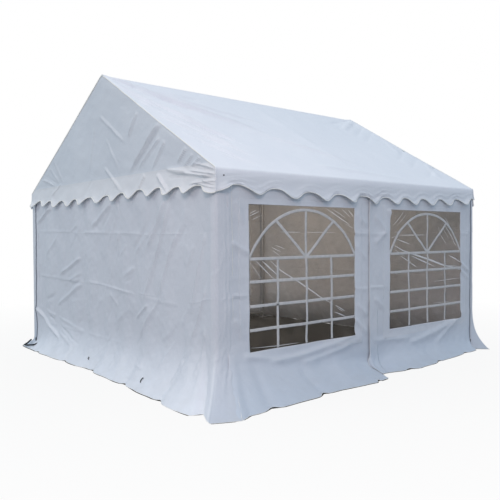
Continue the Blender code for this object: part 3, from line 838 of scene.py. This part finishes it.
def skirt_reach(places, normals, ways):
    """The skirt's reach all round. It is cut off at the corners, but not where one wall laps."""
    side, end = by_side(places, normals, RIGHT_REACH, FRONT_REACH, HIDDEN_REACH)
    reach = 1 / (np.abs(ways[:, 0]) / side + np.abs(ways[:, 1]) / end)
    share = np.clip(np.arctan2(normals[:, 1], normals[:, 0]) / (math.pi / 2) + 1, 0, 1)
    lapped = (places[:, 0] > 0) & (places[:, 1] < 0) & (normals[:, 1] <= 0)
    reach = np.where(lapped, side * share + end * (1 - share), reach)
    around = places[:, 0] - places[:, 1]
    reach += REACH_UNEVEN * ripple(around, 0 * around, 0.5, 3)
    return reach * (1 - NOTCH_DRAW * edge_notches(places, normals))


def creases(u, v, seed, height=0.0035):
    """The sharp packing creases, which stand out in some places and in at others."""
    total = 0
    for i, level in enumerate(CREASES):
        along = 0.4 + 0.8 * ripple(u, 0 * v, 1.3, seed + i, 5)
        total += height * along * np.exp(-np.abs(v - level) / CREASE_HALF)
    return total


def lifted(path, radius):
    """The path, raised where a bead of this radius on it would reach below the ground."""
    path = np.array(path)
    path[:, 2] = np.maximum(path[:, 2], radius + 0.0005)
    return path


def edge_binding(name, path):
    bead(name, lifted(path, HEM_RADIUS), HEM_RADIUS, HEM)


def wall_points(plan, rows, relief, rounding=0.0, sag=None):
    """The grid of one hanging wall. relief gives its folds' height at places along and up it.

    sag(along, height) is how much lower than it was cut the cloth hangs, and rounding rounds off
    the skirt's first corner."""
    places, normals = plan
    share, height, _ = rows
    face = places + normals * WALL_OFFSET
    length = run_along(face)
    ways = skirt_ways(places, normals)
    reach = skirt_reach(places, normals, ways)
    ends = np.ones(len(places))
    if rounding:
        near = np.clip(rounding - (length - length[0]), 0, rounding)
        ends = 1 - (rounding - np.sqrt(rounding**2 - near**2)) / SKIRT_LENGTH
    share = ends[:, None] * share[None, :]
    out = reach[:, None] * share ** skirt_curve(places, normals)[:, None]
    level = np.where(share > 0, SKIRT_HEIGHT * (1 - share), height)
    level = level + NOTCH_LIFT * edge_notches(places, normals)[:, None] * share**6
    points = np.empty((*share.shape, 3))
    points[..., :2] = face[:, None, :] + ways[:, None, :] * out[..., None]
    points[..., 2] = level
    u = np.repeat(length[:, None], len(height), axis=1)
    off = stand_off(relief(u, level - 0.45 * out), level)
    points += surface_normals(points) * off[..., None]
    points[..., 2] = level + (points[..., 2] - level) * (1 - share**6)
    if sag:
        points[..., 2] -= sag(u, level)
    points[..., 2] = np.maximum(points[..., 2], GROUND_CLEAR)
    return points


def wall_sheet(name, plan, step, relief, look, replaced, flat, window_box=None, rounding=0.0, sag=None):
    """One hanging wall, its window cut out, and the hem along its foot."""
    rows = wall_rows(step)
    height, cloth = rows[1:]
    points = wall_points(plan, rows, relief, rounding, sag)
    keep = None
    area = flat[0] * flat[1]
    if window_box:
        low, high = window_box
        y = plan[0][:, 1]
        middle_y = (y[:-1] + y[1:]) / 2
        middle_z = (height[:-1] + height[1:]) / 2
        inside_y = (middle_y > low[1]) & (middle_y < high[1])
        inside_z = (middle_z > low[2]) & (middle_z < high[2])
        keep = ~(inside_y[:, None] & inside_z[None, :])
        area -= (high[1] - low[1]) * (high[2] - low[2])
    along = run_along(plan[0] + plan[1] * WALL_OFFSET)
    made = grid_object(name, points, (along[:, None], cloth[None, :]), look, keep)
    mark(made, replaced)
    edge_binding(f"{name}_hem", points[:, -1])
    return points


def drape(u, v, seed, amount=0.006):
    """Soft hanging folds that grow downwards, with small unevenness over them."""
    lower = 0.4 + 0.6 * smooth((1.95 - v) / 1.6)
    hanging = ripple(u, v * 0.22, 0.45, seed) * amount * lower
    return hanging + ripple(u, v, 0.3, seed + 1) * amount * 0.35 + ripple(u, v, 0.11, seed + 2) * 0.0012


FRONT_FOLDS = traced_folds(FRONT_FOLD_LINES, "front")


def front_relief(u, v):
    x = u + FRONT_SEAM_X
    total = drape(x, v, 11, amount=0.009)
    total += LEVEL_STRENGTH * folds(x, v, LEVEL_FOLDS) + folds(x, v, FRONT_FOLDS) + creases(x, v, 12)
    total += scattered_folds(x, v, 14, 24, (0.2, 0.2), (1.8, 1.8), 0.5, 0.006, 0.018, -1.9)
    total += scattered_folds(x, v, 15, 20, (-1.7, 0.1), (0.6, 1.8), 0.4, 0.005, 0.018, -2.4)
    total += 0.008 * hump(x - FRONT_SEAM_X, 0.03)
    past = x - POST_X - 0.03
    total = total * (1 - 0.8 * hump(past, 0.10))
    total += 0.004 * smooth(past / 0.02)
    for place, tall, wide in ((0.13, 0.002, 0.025), (0.055, 0.0025, 0.014), (0.10, 0.0035, 0.014)):
        total += tall * hump(past - place, wide)
    total += scattered_folds(past, v, 16, 26, (0.03, 0.1), (0.16, 1.5), 0.45, 0.0035, 0.008, -1.57)
    ridge = past + 0.052
    wide = np.where(ridge < 0, 0.040, 0.045)
    return total + 0.016 * np.exp(-((np.abs(ridge) / wide) ** 1.3)) * smooth((1.80 - v) / 0.25)


def front_sag(u, z):
    """The front wall's creases have sunk a little towards the right corner."""
    x = u + FRONT_SEAM_X
    upper = np.interp(x, (-1.75, 0.96, 1.6), (-0.018, 0.018, 0.02))
    lower = np.interp(x, (-1.76, -0.43, 0.82, 1.62), (-0.018, -0.014, 0.032, 0.054))
    calm = 1 - smooth((x - 1.6) / 0.3)
    return calm * (upper * hump(z - CREASES[0], 0.2) + lower * hump(z - CREASES[1], 0.2))


def build_front_wall():
    plan = joined(
        straight(FRONT_SEAM_X, POST_X, (0, -1), FINEST),
        corner(1, -1, SEEN_TURN),
        straight(-POST_Y, SIDE_FRONT_SEAM_Y, (1, 0), FINEST / 2),
    )
    size = (3.95, WALL_LENGTH)
    points = wall_sheet("front_wall", plan, FINEST, front_relief, WALL, "wall_front", size, sag=front_sag)
    edge_binding("front_wall_lap_binding", points[-1])
    build_zip("front_zip", points[0])
    build_toggles(points)


def back_relief(u, v):
    total = drape(u, v, 61) + creases(u, v, 63)
    total += scattered_folds(u, v, 62, 26, (0.3, 0.1), (3.8, 1.7), 0.8, 0.009, 0.04, -2.0)
    return total * (1 - 0.8 * hump(np.minimum(u, u.max() - u), 0.14)) + 0.002


def build_back_wall():
    plan = joined(
        straight(SIDE_BACK_SEAM_Y, POST_Y, (1, 0), MEDIUM),
        corner(1, 1, HIDDEN_TURN),
        straight(POST_X, -POST_X, (0, 1), MEDIUM),
        corner(-1, 1, HIDDEN_TURN),
        straight(POST_Y, SIDE_BACK_SEAM_Y, (-1, 0), MEDIUM),
    )
    wall_sheet("back_wall", plan, MEDIUM, back_relief, WALL, "wall_back", (3.95, WALL_LENGTH))


def side_relief(y, v, bay, seed):
    placed = SIDE_STRENGTH * folds(y, v, SIDE_FOLDS[bay])
    return drape(y, v, seed) + placed + creases(y, v, seed + 2, 0.0025)


def side_front_relief(y, v):
    return side_relief(y, v, "front", 31) * smooth((y + 1.92) / 0.05 + 0.2)


def side_back_relief(y, v):
    return side_relief(y, v, "back", 41) + 0.004 + 0.009 * hump(y - SIDE_MIDDLE_SEAM_Y, 0.035)


PANELS = {
    "front": (SIDE_FRONT_SEAM_Y - LAP, LAP_START, side_front_relief),
    "back": (SIDE_MIDDLE_SEAM_Y, SIDE_BACK_SEAM_Y - 0.004, side_back_relief),
}


def build_side_wall(side, bay):
    start, end, relief = PANELS[bay]
    name = SIDES[side]
    step = FINE if side > 0 else MEDIUM
    box = WINDOWS[bay]

    def lengthwise(u, v):
        return relief(u + start, v)

    points = wall_sheet(
        f"{name}_wall_{bay}",
        straight(start, end, (side, 0), step, (box[0][1], box[1][1])),
        step,
        lengthwise,
        SIDE_WALL,
        f"wall_{bay}_{name}",
        (end - start, WALL_LENGTH),
        box,
        LAP_ROUNDING if bay == "back" else 0.0,
    )
    if bay == "back":
        edge_binding(f"{name}_wall_lap_binding", points[0])
        build_zip(f"{name}_zip", points[-1])


def left_front_relief(u, v):
    y = LAP_START - u
    turned = smooth((0.1 - POST_Y - y) / 0.1)
    return side_front_relief(np.maximum(y, -POST_Y), v) * (1 - turned)


def build_left_front():
    """The left side's front wall turns the corner and ends at the front seam."""
    box = WINDOWS["front"]
    plan = joined(
        straight(LAP_START, -POST_Y, (-1, 0), MEDIUM, (box[0][1], box[1][1])),
        corner(-1, -1, HIDDEN_TURN),
        straight(-POST_X, FRONT_SEAM_X + LAP, (0, -1), MEDIUM),
    )
    size = (2.2, WALL_LENGTH)
    wall_sheet("left_wall_front", plan, MEDIUM, left_front_relief, SIDE_WALL, "wall_front_left", size, box)


FILM_CREASES = {
    bay: [(width, *[traced(pixel, "side") for pixel in path]) for width, *path in lines]
    for bay, lines in CREASE_LINES.items()
}


def panel_points(side, relief, y, v, proud=0.0):
    """Points of a side wall's upright part: the window film, and the bars on it, follow it."""
    x = side * (POST_X + WALL_OFFSET + stand_off(relief(y, v), v) + proud)
    return np.stack(np.broadcast_arrays(x, y, v), axis=-1)


def build_film(side, bay):
    """The clear film of one window, and the white bars welded on it."""
    name = SIDES[side]
    relief = PANELS[bay][2]
    low, high = WINDOWS[bay]

    def film_relief(y, v):
        inset = np.minimum.reduce([y - low[1], high[1] - y, v - low[2], high[2] - v])
        raised = ripple(y * 0.8, v, 0.16, 51) * 0.0016 + ripple(y, v, 0.4, 54) * 0.003
        for width, *path in FILM_CREASES[bay]:
            raised += fold(y, v, path[0], path[-1], 0.3 * width, 0.012)
        return relief(y, v) + raised * smooth(inset / 0.05)

    y, z = (spaced(low[axis], high[axis], FILM_STEP[side]) for axis in (1, 2))
    y, z = np.meshgrid(y, z, indexing="ij")
    points = panel_points(side, film_relief, y, z, -CLOTH / 2)
    film = grid_object(f"{name}_film_{bay}", points, (y, z), FILM, flip=side < 0, thickness=0)
    mark(film, f"window_{bay}_{name}")
    build_crease_glints(side, bay, film_relief)
    build_bars(side, bay, film_relief)
    build_border(side, bay, relief)


def build_border(side, bay, relief):
    """The welded band round a window."""
    low, high = WINDOWS[bay]
    inner = np.array([(low[1], low[2]), (high[1], low[2]), (high[1], high[2]), (low[1], high[2])])
    wider = np.array([
        (-BORDER_SIDE, -BORDER_BELOW),
        (BORDER_SIDE, -BORDER_BELOW),
        (BORDER_SIDE, BORDER_ABOVE),
        (-BORDER_SIDE, BORDER_ABOVE),
    ])
    outer = inner + wider
    rows = []
    for first in range(4):
        second = (first + 1) % 4
        count = round(math.dist(inner[first], inner[second]) / FINE)
        for i in range(count):
            along = i / count
            start, end = (ring[first] * (1 - along) + ring[second] * along for ring in (inner, outer))
            rows.append([start * (1 - share) + end * share for share in BORDER_SHARES])
    rows.append(rows[0])
    y, z = np.moveaxis(np.array(rows), -1, 0)
    points = panel_points(side, relief, y, z, np.array(BORDER_HEIGHTS))
    name = f"{SIDES[side]}_border_{bay}"
    mark(grid_object(name, points, (y, z), BAND, flip=side > 0, thickness=0))


def bar_paths(low, high):
    """Middle lines of a window's bars, as (y, z) points."""
    centre = (low[1] + high[1]) / 2
    base = low[2] + ARCH_BASE
    edge = BAR_WIDTH * 0.2
    paths = [[(low[1] + edge, low[2] + rise), (high[1] - edge, low[2] + rise)]
             for rise in (*BAR_ROWS, ARCH_BASE)]
    for shift in BAR_COLUMNS:
        top = base if shift else base + ARCH_RISE
        paths.append([(centre + shift, low[2] + edge), (centre + shift, top)])
    for sign in (-1, 1):
        paths.append([(centre, base), (centre + sign * RAY_SIDE, base + RAY_RISE)])
    middle = base + ARCH_RISE - ARCH_RADIUS
    angles = math.asin(ARCH_HALF / ARCH_RADIUS) * np.linspace(-1, 1, 33)
    paths.append([(centre + ARCH_RADIUS * math.sin(angle), middle + ARCH_RADIUS * math.cos(angle))
                  for angle in angles])
    return paths


def ribbon(path, width, step):
    """Rows of points across a flat band of this width along a line, a step apart."""
    path = np.array(path)
    run = run_along(path)
    along = np.linspace(0, run[-1], max(2, round(run[-1] / step)) + 1)
    line = np.stack([np.interp(along, run, path[:, i]) for i in (0, 1)], axis=1)
    way = np.gradient(line, axis=0)
    way /= np.linalg.norm(way, axis=1, keepdims=True)
    side = np.stack([-way[:, 1], way[:, 0]], axis=1) * width / 2
    return np.stack([line - side, line - side * 0.5, line + side * 0.5, line + side], axis=1)


def build_bars(side, bay, relief):
    pieces = []
    for path in bar_paths(*WINDOWS[bay]):
        y, z = np.moveaxis(ribbon(path, BAR_WIDTH, BAR_STEP), -1, 0)
        points = panel_points(side, relief, y, z, BAR_THICK / 2)
        pieces.append(grid_object("bar", points, (y, z), BAR, flip=side < 0, thickness=BAR_THICK))
    mark(merged(f"{SIDES[side]}_bars_{bay}", pieces))


def build_crease_glints(side, bay, relief):
    """White lines along the creases of a film, painted glints: thin ribbons on its face that taper to both
    ends.
    """
    low, high = (np.array(end[1:]) for end in WINDOWS[bay])
    inset = 0.006
    pieces = []
    for width, *path in FILM_CREASES[bay]:
        path = np.clip(path, low + inset, high - inset)
        band = ribbon(path, width if side > 0 else width * 0.6, CREASE_STEP)
        middle = band.mean(axis=1, keepdims=True)
        taper = 0.12 + 0.88 * np.sin(math.pi * np.linspace(0, 1, len(band))) ** 0.6
        y, z = np.moveaxis(middle + (band - middle) * taper[:, None, None], -1, 0)
        points = panel_points(side, relief, y, z)
        pieces.append(grid_object("crease", points, (y, z), CREASE_GLINT, flip=side < 0, thickness=0))
    mark(merged(f"{SIDES[side]}_creases_{bay}", pieces))


def build_zip(name, edge):
    """A zip down the edge of a wall: the tape, the chain of teeth and the slider at its foot."""
    path = edge[(edge[:, 2] < ZIP_TOP) & (edge[:, 2] > ZIP_FOOT)]
    axis = 1 if abs(path[0, 1]) > abs(path[0, 0]) else 0
    out = np.sign(path[:, axis].mean())
    normal = np.zeros(3)
    normal[axis] = out
    side = np.zeros(3)
    side[1 - axis] = 1
    run = run_along(path)
    along = np.arange(0, run[-1], ZIP_PITCH)
    line = np.stack([np.interp(along, run, path[:, i]) for i in range(3)], axis=1) + normal * 0.004
    bead(f"{name}_chain", line[::2], ZIP_TEETH, ZIP)
    shifts = np.array([-0.009, -0.005, 0.0, 0.005, 0.009])
    tape = line[::2, None, :] + side * shifts[None, :, None] - normal * 0.002
    flat = (run[-1] * np.linspace(0, 1, len(tape))[:, None], shifts[None, :])
    flip = bool((axis == 0) == (out > 0))
    mark(grid_object(f"{name}_tape", tape, flat, ZIP_TAPE, flip=flip, thickness=0.001))
    foot = line[-1] + normal * 0.006
    pull = [foot + np.array((0, 0, rise)) for rise in (0.012, 0.0, -0.014, -0.026)]
    bead(f"{name}_slider", pull, ZIP_SLIDER, BLACK, 10)


def valance_wave(along, lobes):
    """1 at the middle of each lobe along a valance, and 0 at the notches between them."""
    phase = np.interp(along, lobes, np.arange(len(lobes)))
    return 0.5 + 0.5 * np.cos(2 * math.pi * phase)


def hem_drop(along, lobes, sag, seed):
    """How far below the eave's corner the valance's wavy hem is."""
    uneven = ripple(along, 0 * along, 0.9, seed, 4) * 0.003 + np.interp(along, *zip(*sag))
    return NOTCH_DROP + (LOBE_DROP - NOTCH_DROP) * valance_wave(along, lobes) ** 1.35 + uneven


def corner_share(along):
    """1 at a corner, falling to 0 away from it, along a side or an end of the tent."""
    reach = HALF_LENGTH if np.max(np.abs(along)) > HALF_WIDTH + 0.01 else HALF_WIDTH
    return smooth(1 - (reach - np.abs(along)) / CORNER_HOLD)


def corner_flare(depth):
    """How far the valance stands out where two sides of it meet."""
    return 0.004 * depth**1.6 + 0.006 * depth**3


def lobe_flare(along, depth, lobes, seed, flare, curl):
    """How far the valance stands out: a little at the notches, and more at the lobes."""
    unlike = np.clip(1 + 0.6 * ripple(along, 0 * along, 0.8, seed, 4), 0.15, 2)
    lip = depth**2.2 * 0.25 + depth**9 * 0.9
    free = depth**1.6 * flare + lip * curl * valance_wave(along, lobes) * unlike
    held = corner_share(along)
    return held * corner_flare(depth) + (1 - held) * free


def ridge_lift(y):
    """The roof stands higher over the end rafters' joints than along the ridge."""
    return RIDGE_LIFT * hump(HALF_LENGTH - np.abs(y), RIDGE_LIFT_LENGTH)


def rake_height(x):
    """The height of the roof's edge over a gable."""
    run = np.abs(x)
    end = ridge_lift(HALF_LENGTH)
    lift = end * smooth(1 - run / RIDGE_LIFT_RUN) * math.cos(PITCH)
    return np.minimum(RIDGE_HEIGHT - SLOPE * run + lift, RIDGE_HEIGHT + end - 0.003)


ROOF_FOLDS = (*ROOF_LONG_FOLDS, *traced_folds(ROOF_FOLD_LINES, "roof"))


def roof_relief(y, run, seed):
    """Height of the folds on one slope. run is the level distance from the ridge."""
    between = np.abs(np.sin(math.pi * y / HALF_LENGTH))
    middle = np.sin(math.pi * np.clip(run / HALF_WIDTH, 0, 1))
    total = -ROOF_SAG * between * middle + ripple(y, run, 0.9, seed) * 0.004
    total = total + ripple(y, run, 0.28, seed + 1) * 0.0015 + folds(y, run, ROOF_FOLDS)
    over = hump(y, 0.06)
    total = np.where(total < 0, total * (1 - over), total) + 0.0015 * over
    held = smooth((HALF_LENGTH - np.abs(y)) / 0.05)
    total = total * held * smooth((HALF_WIDTH - run) / 0.05) * smooth(run / 0.10)
    return total + ridge_lift(y) * smooth(1 - run / RIDGE_LIFT_RUN)


def roof_half(side, y):
    """One slope with its valance: rows of points from the crown down, and their flat lengths."""
    seed = 81 if side > 0 else 91
    turn = math.pi / 2 - PITCH
    cut = EAVE_ROUNDING * math.tan(turn / 2)
    runs = spaced(CROWN_EDGE, HALF_WIDTH - cut * math.cos(PITCH), FINEST if side > 0 else COARSE)
    rows = []
    for run in runs:
        relief = roof_relief(y, run * np.ones_like(y), seed)
        x = run + relief * math.sin(PITCH)
        rows.append((x, y, RIDGE_HEIGHT - SLOPE * run + relief * math.cos(PITCH)))
    lengths = [run / math.cos(PITCH) for run in runs]
    outer_x = HALF_WIDTH + VALANCE_PROUD
    centre_z = RIDGE_HEIGHT - SLOPE * runs[-1] - EAVE_ROUNDING * math.cos(PITCH)
    for share in np.linspace(0, 1, 7)[1:]:
        angle = turn - turn * share
        x = outer_x - EAVE_ROUNDING + EAVE_ROUNDING * math.cos(angle)
        rows.append((x, y, centre_z + EAVE_ROUNDING * math.sin(angle)))
        lengths.append(lengths[-1] + EAVE_ROUNDING * turn / 6)
    drop = hem_drop(y, SIDE_LOBES, SIDE_SAG, 5 + seed)
    held = corner_share(y)
    for depth in np.linspace(0, 1, 11)[1:]:
        wrinkle = (0.5 + 0.5 * ripple(y + 1.1 * depth, 0.25 * depth + 0 * y, 0.26, 8 + seed)) * 0.017 * depth
        out = lobe_flare(y, depth, SIDE_LOBES, 7 + seed, 0.012, 0.026)
        out += (1 - held) * (0.0022 * hump(depth - 0.16, 0.06) + wrinkle)
        along = y + np.sign(y) * held * corner_flare(depth)
        rows.append((outer_x + out, along, centre_z + (EAVE_HEIGHT - drop - centre_z) * depth))
        lengths.append(lengths[-1] + 0.02)
    return [np.stack(np.broadcast_arrays(side * x, along, z), axis=1) for x, along, z in rows], lengths


def build_roof():
    """The roof cover: both slopes and the side valances, in one sheet."""
    near = spaced(-HALF_LENGTH, ROOF_NEAR_END, FINEST)
    y = np.concatenate([near, spaced(ROOF_NEAR_END, HALF_LENGTH, ROOF_STEP)[1:]])
    right, right_lengths = roof_half(1, y)
    left, left_lengths = roof_half(-1, y)
    crown = [np.stack([x + 0 * y, y, RIDGE_HEIGHT - 0.0005 - 8 * x**2 + ridge_lift(y)], axis=1)
             for x in CROWN]
    points = np.stack([*right[::-1], *crown, *left], axis=1)
    across = np.concatenate([right_lengths[::-1], np.zeros(len(CROWN)), -np.array(left_lengths)])
    made = grid_object("roof_cloth_cover", points, (y[:, None], across[None, :]), ROOF, flip=True)
    mark(made, "roof_cover")
    for side, edge in (("right", points[:, 0]), ("left", points[:, -1])):
        bead(f"{side}_valance_binding", edge, SIDE_BINDING, HEM)
    for row, end in ((0, "front"), (-1, "back")):
        for side, edge in (("right", points[row, :15]), ("left", points[row, :-16:-1])):
            bead(f"{end}_{side}_corner_bead", edge, CORNER_BEAD, ROOF, 8)


GABLE_FOLDS = traced_folds(GABLE_FOLD_LINES, "gable")


def build_gable(sign):
    """A gable panel: the triangle, its seam, and the wavy valance below."""
    name = ENDS[sign]
    step = FINE if sign < 0 else MEDIUM
    reach = HALF_WIDTH - 0.003
    x = spaced(-reach, reach, step)
    low = EAVE_HEIGHT - hem_drop(x, FRONT_LOBES, FRONT_SAG, 15)
    rise = rake_height(x) - 0.004
    count = round((RIDGE_HEIGHT - EAVE_HEIGHT) / step) + 12
    z = low[:, None] + (rise - low)[:, None] * np.linspace(0, 1, count)[None, :]
    u = np.repeat(x[:, None], count, axis=1)
    below = np.clip((GABLE_SEAM - z) / (GABLE_SEAM - low)[:, None], 0, 1)
    if sign < 0:
        total = GABLE_STRENGTH * folds(u, z, GABLE_FOLDS)
    else:
        total = scattered_folds(u, z, 23, 22, (-1.5, 1.9), (1.5, 2.7), 0.5, 0.008, 0.028, -2.4)
    total += ripple(u, z, 0.6, 21) * 0.003 + ripple(u, z, 0.14, 22) * 0.0012 + 0.003
    total += 0.003 * hump(z - GABLE_SEAM, 0.012)
    free = 1 - corner_share(u)
    total += below * free * 0.006 * (0.5 + 0.5 * ripple(u + 0.25 * below, 0.25 * below, 0.4, 24))
    held = smooth((rise[:, None] - z) / 0.035) * smooth((reach - np.abs(u)) / 0.02 + 0.35)
    total = np.maximum(total * held, 0) + lobe_flare(u, below, FRONT_LOBES, 17, 0.012, 0.032)
    wrapped = u + np.sign(u) * (1 - free) * (VALANCE_PROUD + corner_flare(below))
    points = np.stack([wrapped, sign * (HALF_LENGTH - 0.0005 + total), z], axis=-1)
    made = grid_object(f"{name}_gable", points, (u, z), GABLE, flip=sign < 0)
    mark(made, f"gable_{name}")
    bead(f"{name}_valance_binding", points[:, 0], GABLE_BINDING, HEM)


def build_rake_beads():
    """The rounded edge of the roof cover down each rake."""
    x = spaced(-HALF_WIDTH + 0.006, HALF_WIDTH - 0.006, 0.03)
    for sign, name in ENDS.items():
        z = rake_height(x) - 0.002 - 0.0015 * ripple(x, 0 * x, 0.35, 71 + sign) ** 2
        path = np.stack([x, 0 * x + sign * (HALF_LENGTH + 0.001), z], axis=1)
        bead(f"{name}_rake_bead", path, RAKE_BEAD, HEM, 12)


def build_eyelets():
    """A small round eyelet near each end of the side valances."""
    for side, side_name in SIDES.items():
        for end, end_name in ENDS.items():
            x = side * (HALF_WIDTH + VALANCE_PROUD + 0.0025)
            angles = 2 * math.pi * np.arange(20) / 20
            y = end * (HALF_LENGTH - EYELET_INSET) + side * EYELET_RADIUS * np.cos(angles)
            z = EYELET_HEIGHT + EYELET_RADIUS * np.sin(angles)
            path = np.stack([x + 0 * y, y, z], axis=1)
            name = f"eyelet_{end_name}_{side_name}"
            bead(name, path, EYELET_THICK, BLACK, 8, closed=True)


def build_toggles(points):
    """Elastic loops that come through the front skirt, to be pegged to the ground."""
    for number, (x, size) in enumerate(TOGGLES):
        column = points[np.argmin(np.abs(points[:, 40, 0] - x))]
        start = column[np.argmin(np.abs(column[:, 2] - 0.10))]
        share = np.linspace(0, 1, 15)
        swing = size * np.sin(math.pi * share)
        along = 0.25 * size * (share - 0.5) - 0.1 * swing
        shift = np.stack([along, -0.008 - 0.4 * swing, -size * share], axis=1)
        bead(f"front_toggle_{number + 1}", start + shift, TOGGLE_RADIUS, BLACK, 8)


def aim(thing, place, target):
    thing.location = place
    thing.rotation_euler = (Vector(target) - Vector(place)).to_track_quat("-Z", "Y").to_euler()


def build_camera():
    data = bpy.data.cameras.new("camera")
    data.lens = CAMERA_LENS
    data.sensor_width = CAMERA_SENSOR
    data.clip_end = 300
    camera = new_object("camera", data)
    right, up, forward = (Vector(axis) for axis in camera_axes())
    turn = Matrix((right, up, -forward)).transposed()
    camera.matrix_world = Matrix.Translation(CAMERA_PLACE) @ turn.to_4x4()
    bpy.context.scene.camera = camera


def painted_shade_outline():
    """The rim of the painted shade under the tent: the skirt's hem all round it, as far out as the cloth lies
    off the tubes.
    """
    places, normals = joined(
        straight(-POST_X, POST_X, (0, -1), RIM_STEP),
        corner(1, -1, RIM_TURN),
        straight(-POST_Y, POST_Y, (1, 0), RIM_STEP),
        corner(1, 1, RIM_TURN),
        straight(POST_X, -POST_X, (0, 1), RIM_STEP),
        corner(-1, 1, RIM_TURN),
        straight(POST_Y, -POST_Y, (-1, 0), RIM_STEP),
        corner(-1, -1, RIM_TURN),
    )
    ways = skirt_ways(places, normals)
    reach = skirt_reach(places, normals, ways)
    return places + normals * (WALL_OFFSET + SLACK) + ways * (reach[:, None] + 0.006)


def show_to_camera(tree, factor, first, second, output):
    """Blends from the first shader to the second by factor, and sends it to the output."""
    blend = node(tree, "ShaderNodeMixShader", {0: factor, 1: first, 2: second})
    tree.links.new(blend.outputs[0], tree.nodes[output].inputs["Surface"])


def camera_ray(tree):
    return node(tree, "ShaderNodeLightPath").outputs["Is Camera Ray"]


def build_stage():
    """A pale floor that runs out into the white background, and a near-black patch under the tent: painted
    shade.
    """
    mesh = bpy.data.meshes.new("floor")
    corners = ((-1, -1), (1, -1), (1, 1), (-1, 1))
    rim = painted_shade_outline().tolist()
    count = len(rim)
    points = [(x * FLOOR_REACH, y * FLOOR_REACH, 0) for x, y in corners]
    points += [(0, 0, 0.0005), *[(x, y, 0.0005) for x, y in rim]]
    fan = [(4, 5 + i, 5 + (i + 1) % count) for i in range(count)]
    mesh.from_pydata(points, [], [(0, 1, 2, 3), *fan])
    pale, tree, shader, place = new_material("pale_floor")
    feed(tree, shader, {"Base Color": (0.5, 0.5, 0.5, 1), "Roughness": 0.9, "Specular IOR Level": 0.0})
    distance = node(tree, "ShaderNodeVectorMath", {0: place}, operation="LENGTH").outputs["Value"]
    rise = span(tree, distance, FLOOR_NEAR, FLOOR_FAR, FLOOR_GLOW, 1)
    glow = node(tree, "ShaderNodeEmission").outputs[0]
    factor = maths(tree, "MULTIPLY", rise, camera_ray(tree))
    show_to_camera(tree, factor, shader.outputs[0], glow, "Material Output")
    mesh.materials.append(pale)
    # The ground under the tent is near black: painted shade.
    mesh.materials.append(plain_material("painted_shade_ground", (0.015, 0.0146, 0.0127), 0.9, scale=6))
    for polygon in list(mesh.polygons)[1:]:
        polygon.material_index = 1
    floor = new_object("floor", mesh)
    floor.location.z = -0.001


def build_world():
    """A cool, soft sky for the light, and plain white behind the tent."""
    world = bpy.data.worlds.new("studio")
    world.use_nodes = True
    bpy.context.scene.world = world
    tree = world.node_tree
    sky = tree.nodes["Background"]
    place = node(tree, "ShaderNodeTexCoord").outputs["Generated"]
    upward = node(tree, "ShaderNodeSeparateXYZ", {0: place}).outputs[2]
    height = span(tree, upward, 0.22, 0.95, 0, 1)
    tone = mixed(tree, height, (0.175, 0.265, 0.385), (0.88, 0.95, 1.0))
    feed(tree, sky, {"Color": tone, "Strength": 1.16})
    plain = node(tree, "ShaderNodeBackground", {"Color": (1, 1, 1, 1)}).outputs[0]
    show_to_camera(tree, camera_ray(tree), sky.outputs[0], plain, "World Output")
    bpy.context.scene.view_settings.view_transform = "Standard"


def new_light(name, kind, power, colour):
    data = bpy.data.lights.new(name, kind)
    data.energy = power
    data.color = colour
    return new_object(name, data)


def build_lights():
    """Two broad lamps in front, and two inside that stand for the light through the cloth."""
    for name, place, target, size, power, colour in (
        ("front_right", (6.5, -6.8, 5.5), (1.0, -1.5, 1.2), 2.0, 170, (1.0, 0.78, 0.72)),
        ("front_left", (-5.5, -9.0, 6.5), (0.5, -1.5, 1.2), 2.4, 135, (1.0, 1.0, 0.9)),
    ):
        lamp = new_light(name, "AREA", power, colour)
        lamp.data.shape = "DISK"
        lamp.data.size = size
        aim(lamp, place, target)
    for place, power in (((-0.6, 0.2, 1.9), 27), ((-1.0, 0.9, 0.75), 3)):
        inside = new_light("inside", "POINT", power, (1.0, 0.81, 0.63))
        inside.data.shadow_soft_size = 0.4
        inside.location = place
        inside.visible_camera = False


def dress_steel():
    for name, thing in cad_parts.items():
        if name.startswith(("post", "rafter", "ridge", "eave", "tie", "ground")):
            thing.data.materials.clear()
            thing.data.materials.append(STEEL)


build_camera()
build_stage()
build_world()
build_lights()
dress_steel()
build_front_wall()
for bay_name in ("front", "back"):
    build_side_wall(1, bay_name)
    build_film(1, bay_name)
    build_film(-1, bay_name)
build_side_wall(-1, "back")
build_left_front()
build_back_wall()
build_roof()
build_gable(-1)
build_gable(1)
build_rake_beads()
build_eyelets()
# A black strap on the ground at the front's left corner, which also stands for the shadow there: painted
# shadow.
bead("front_zip_strap_and_shadow", STRAP_AND_SHADOW, STRAP_RADIUS, BLACK, 10)
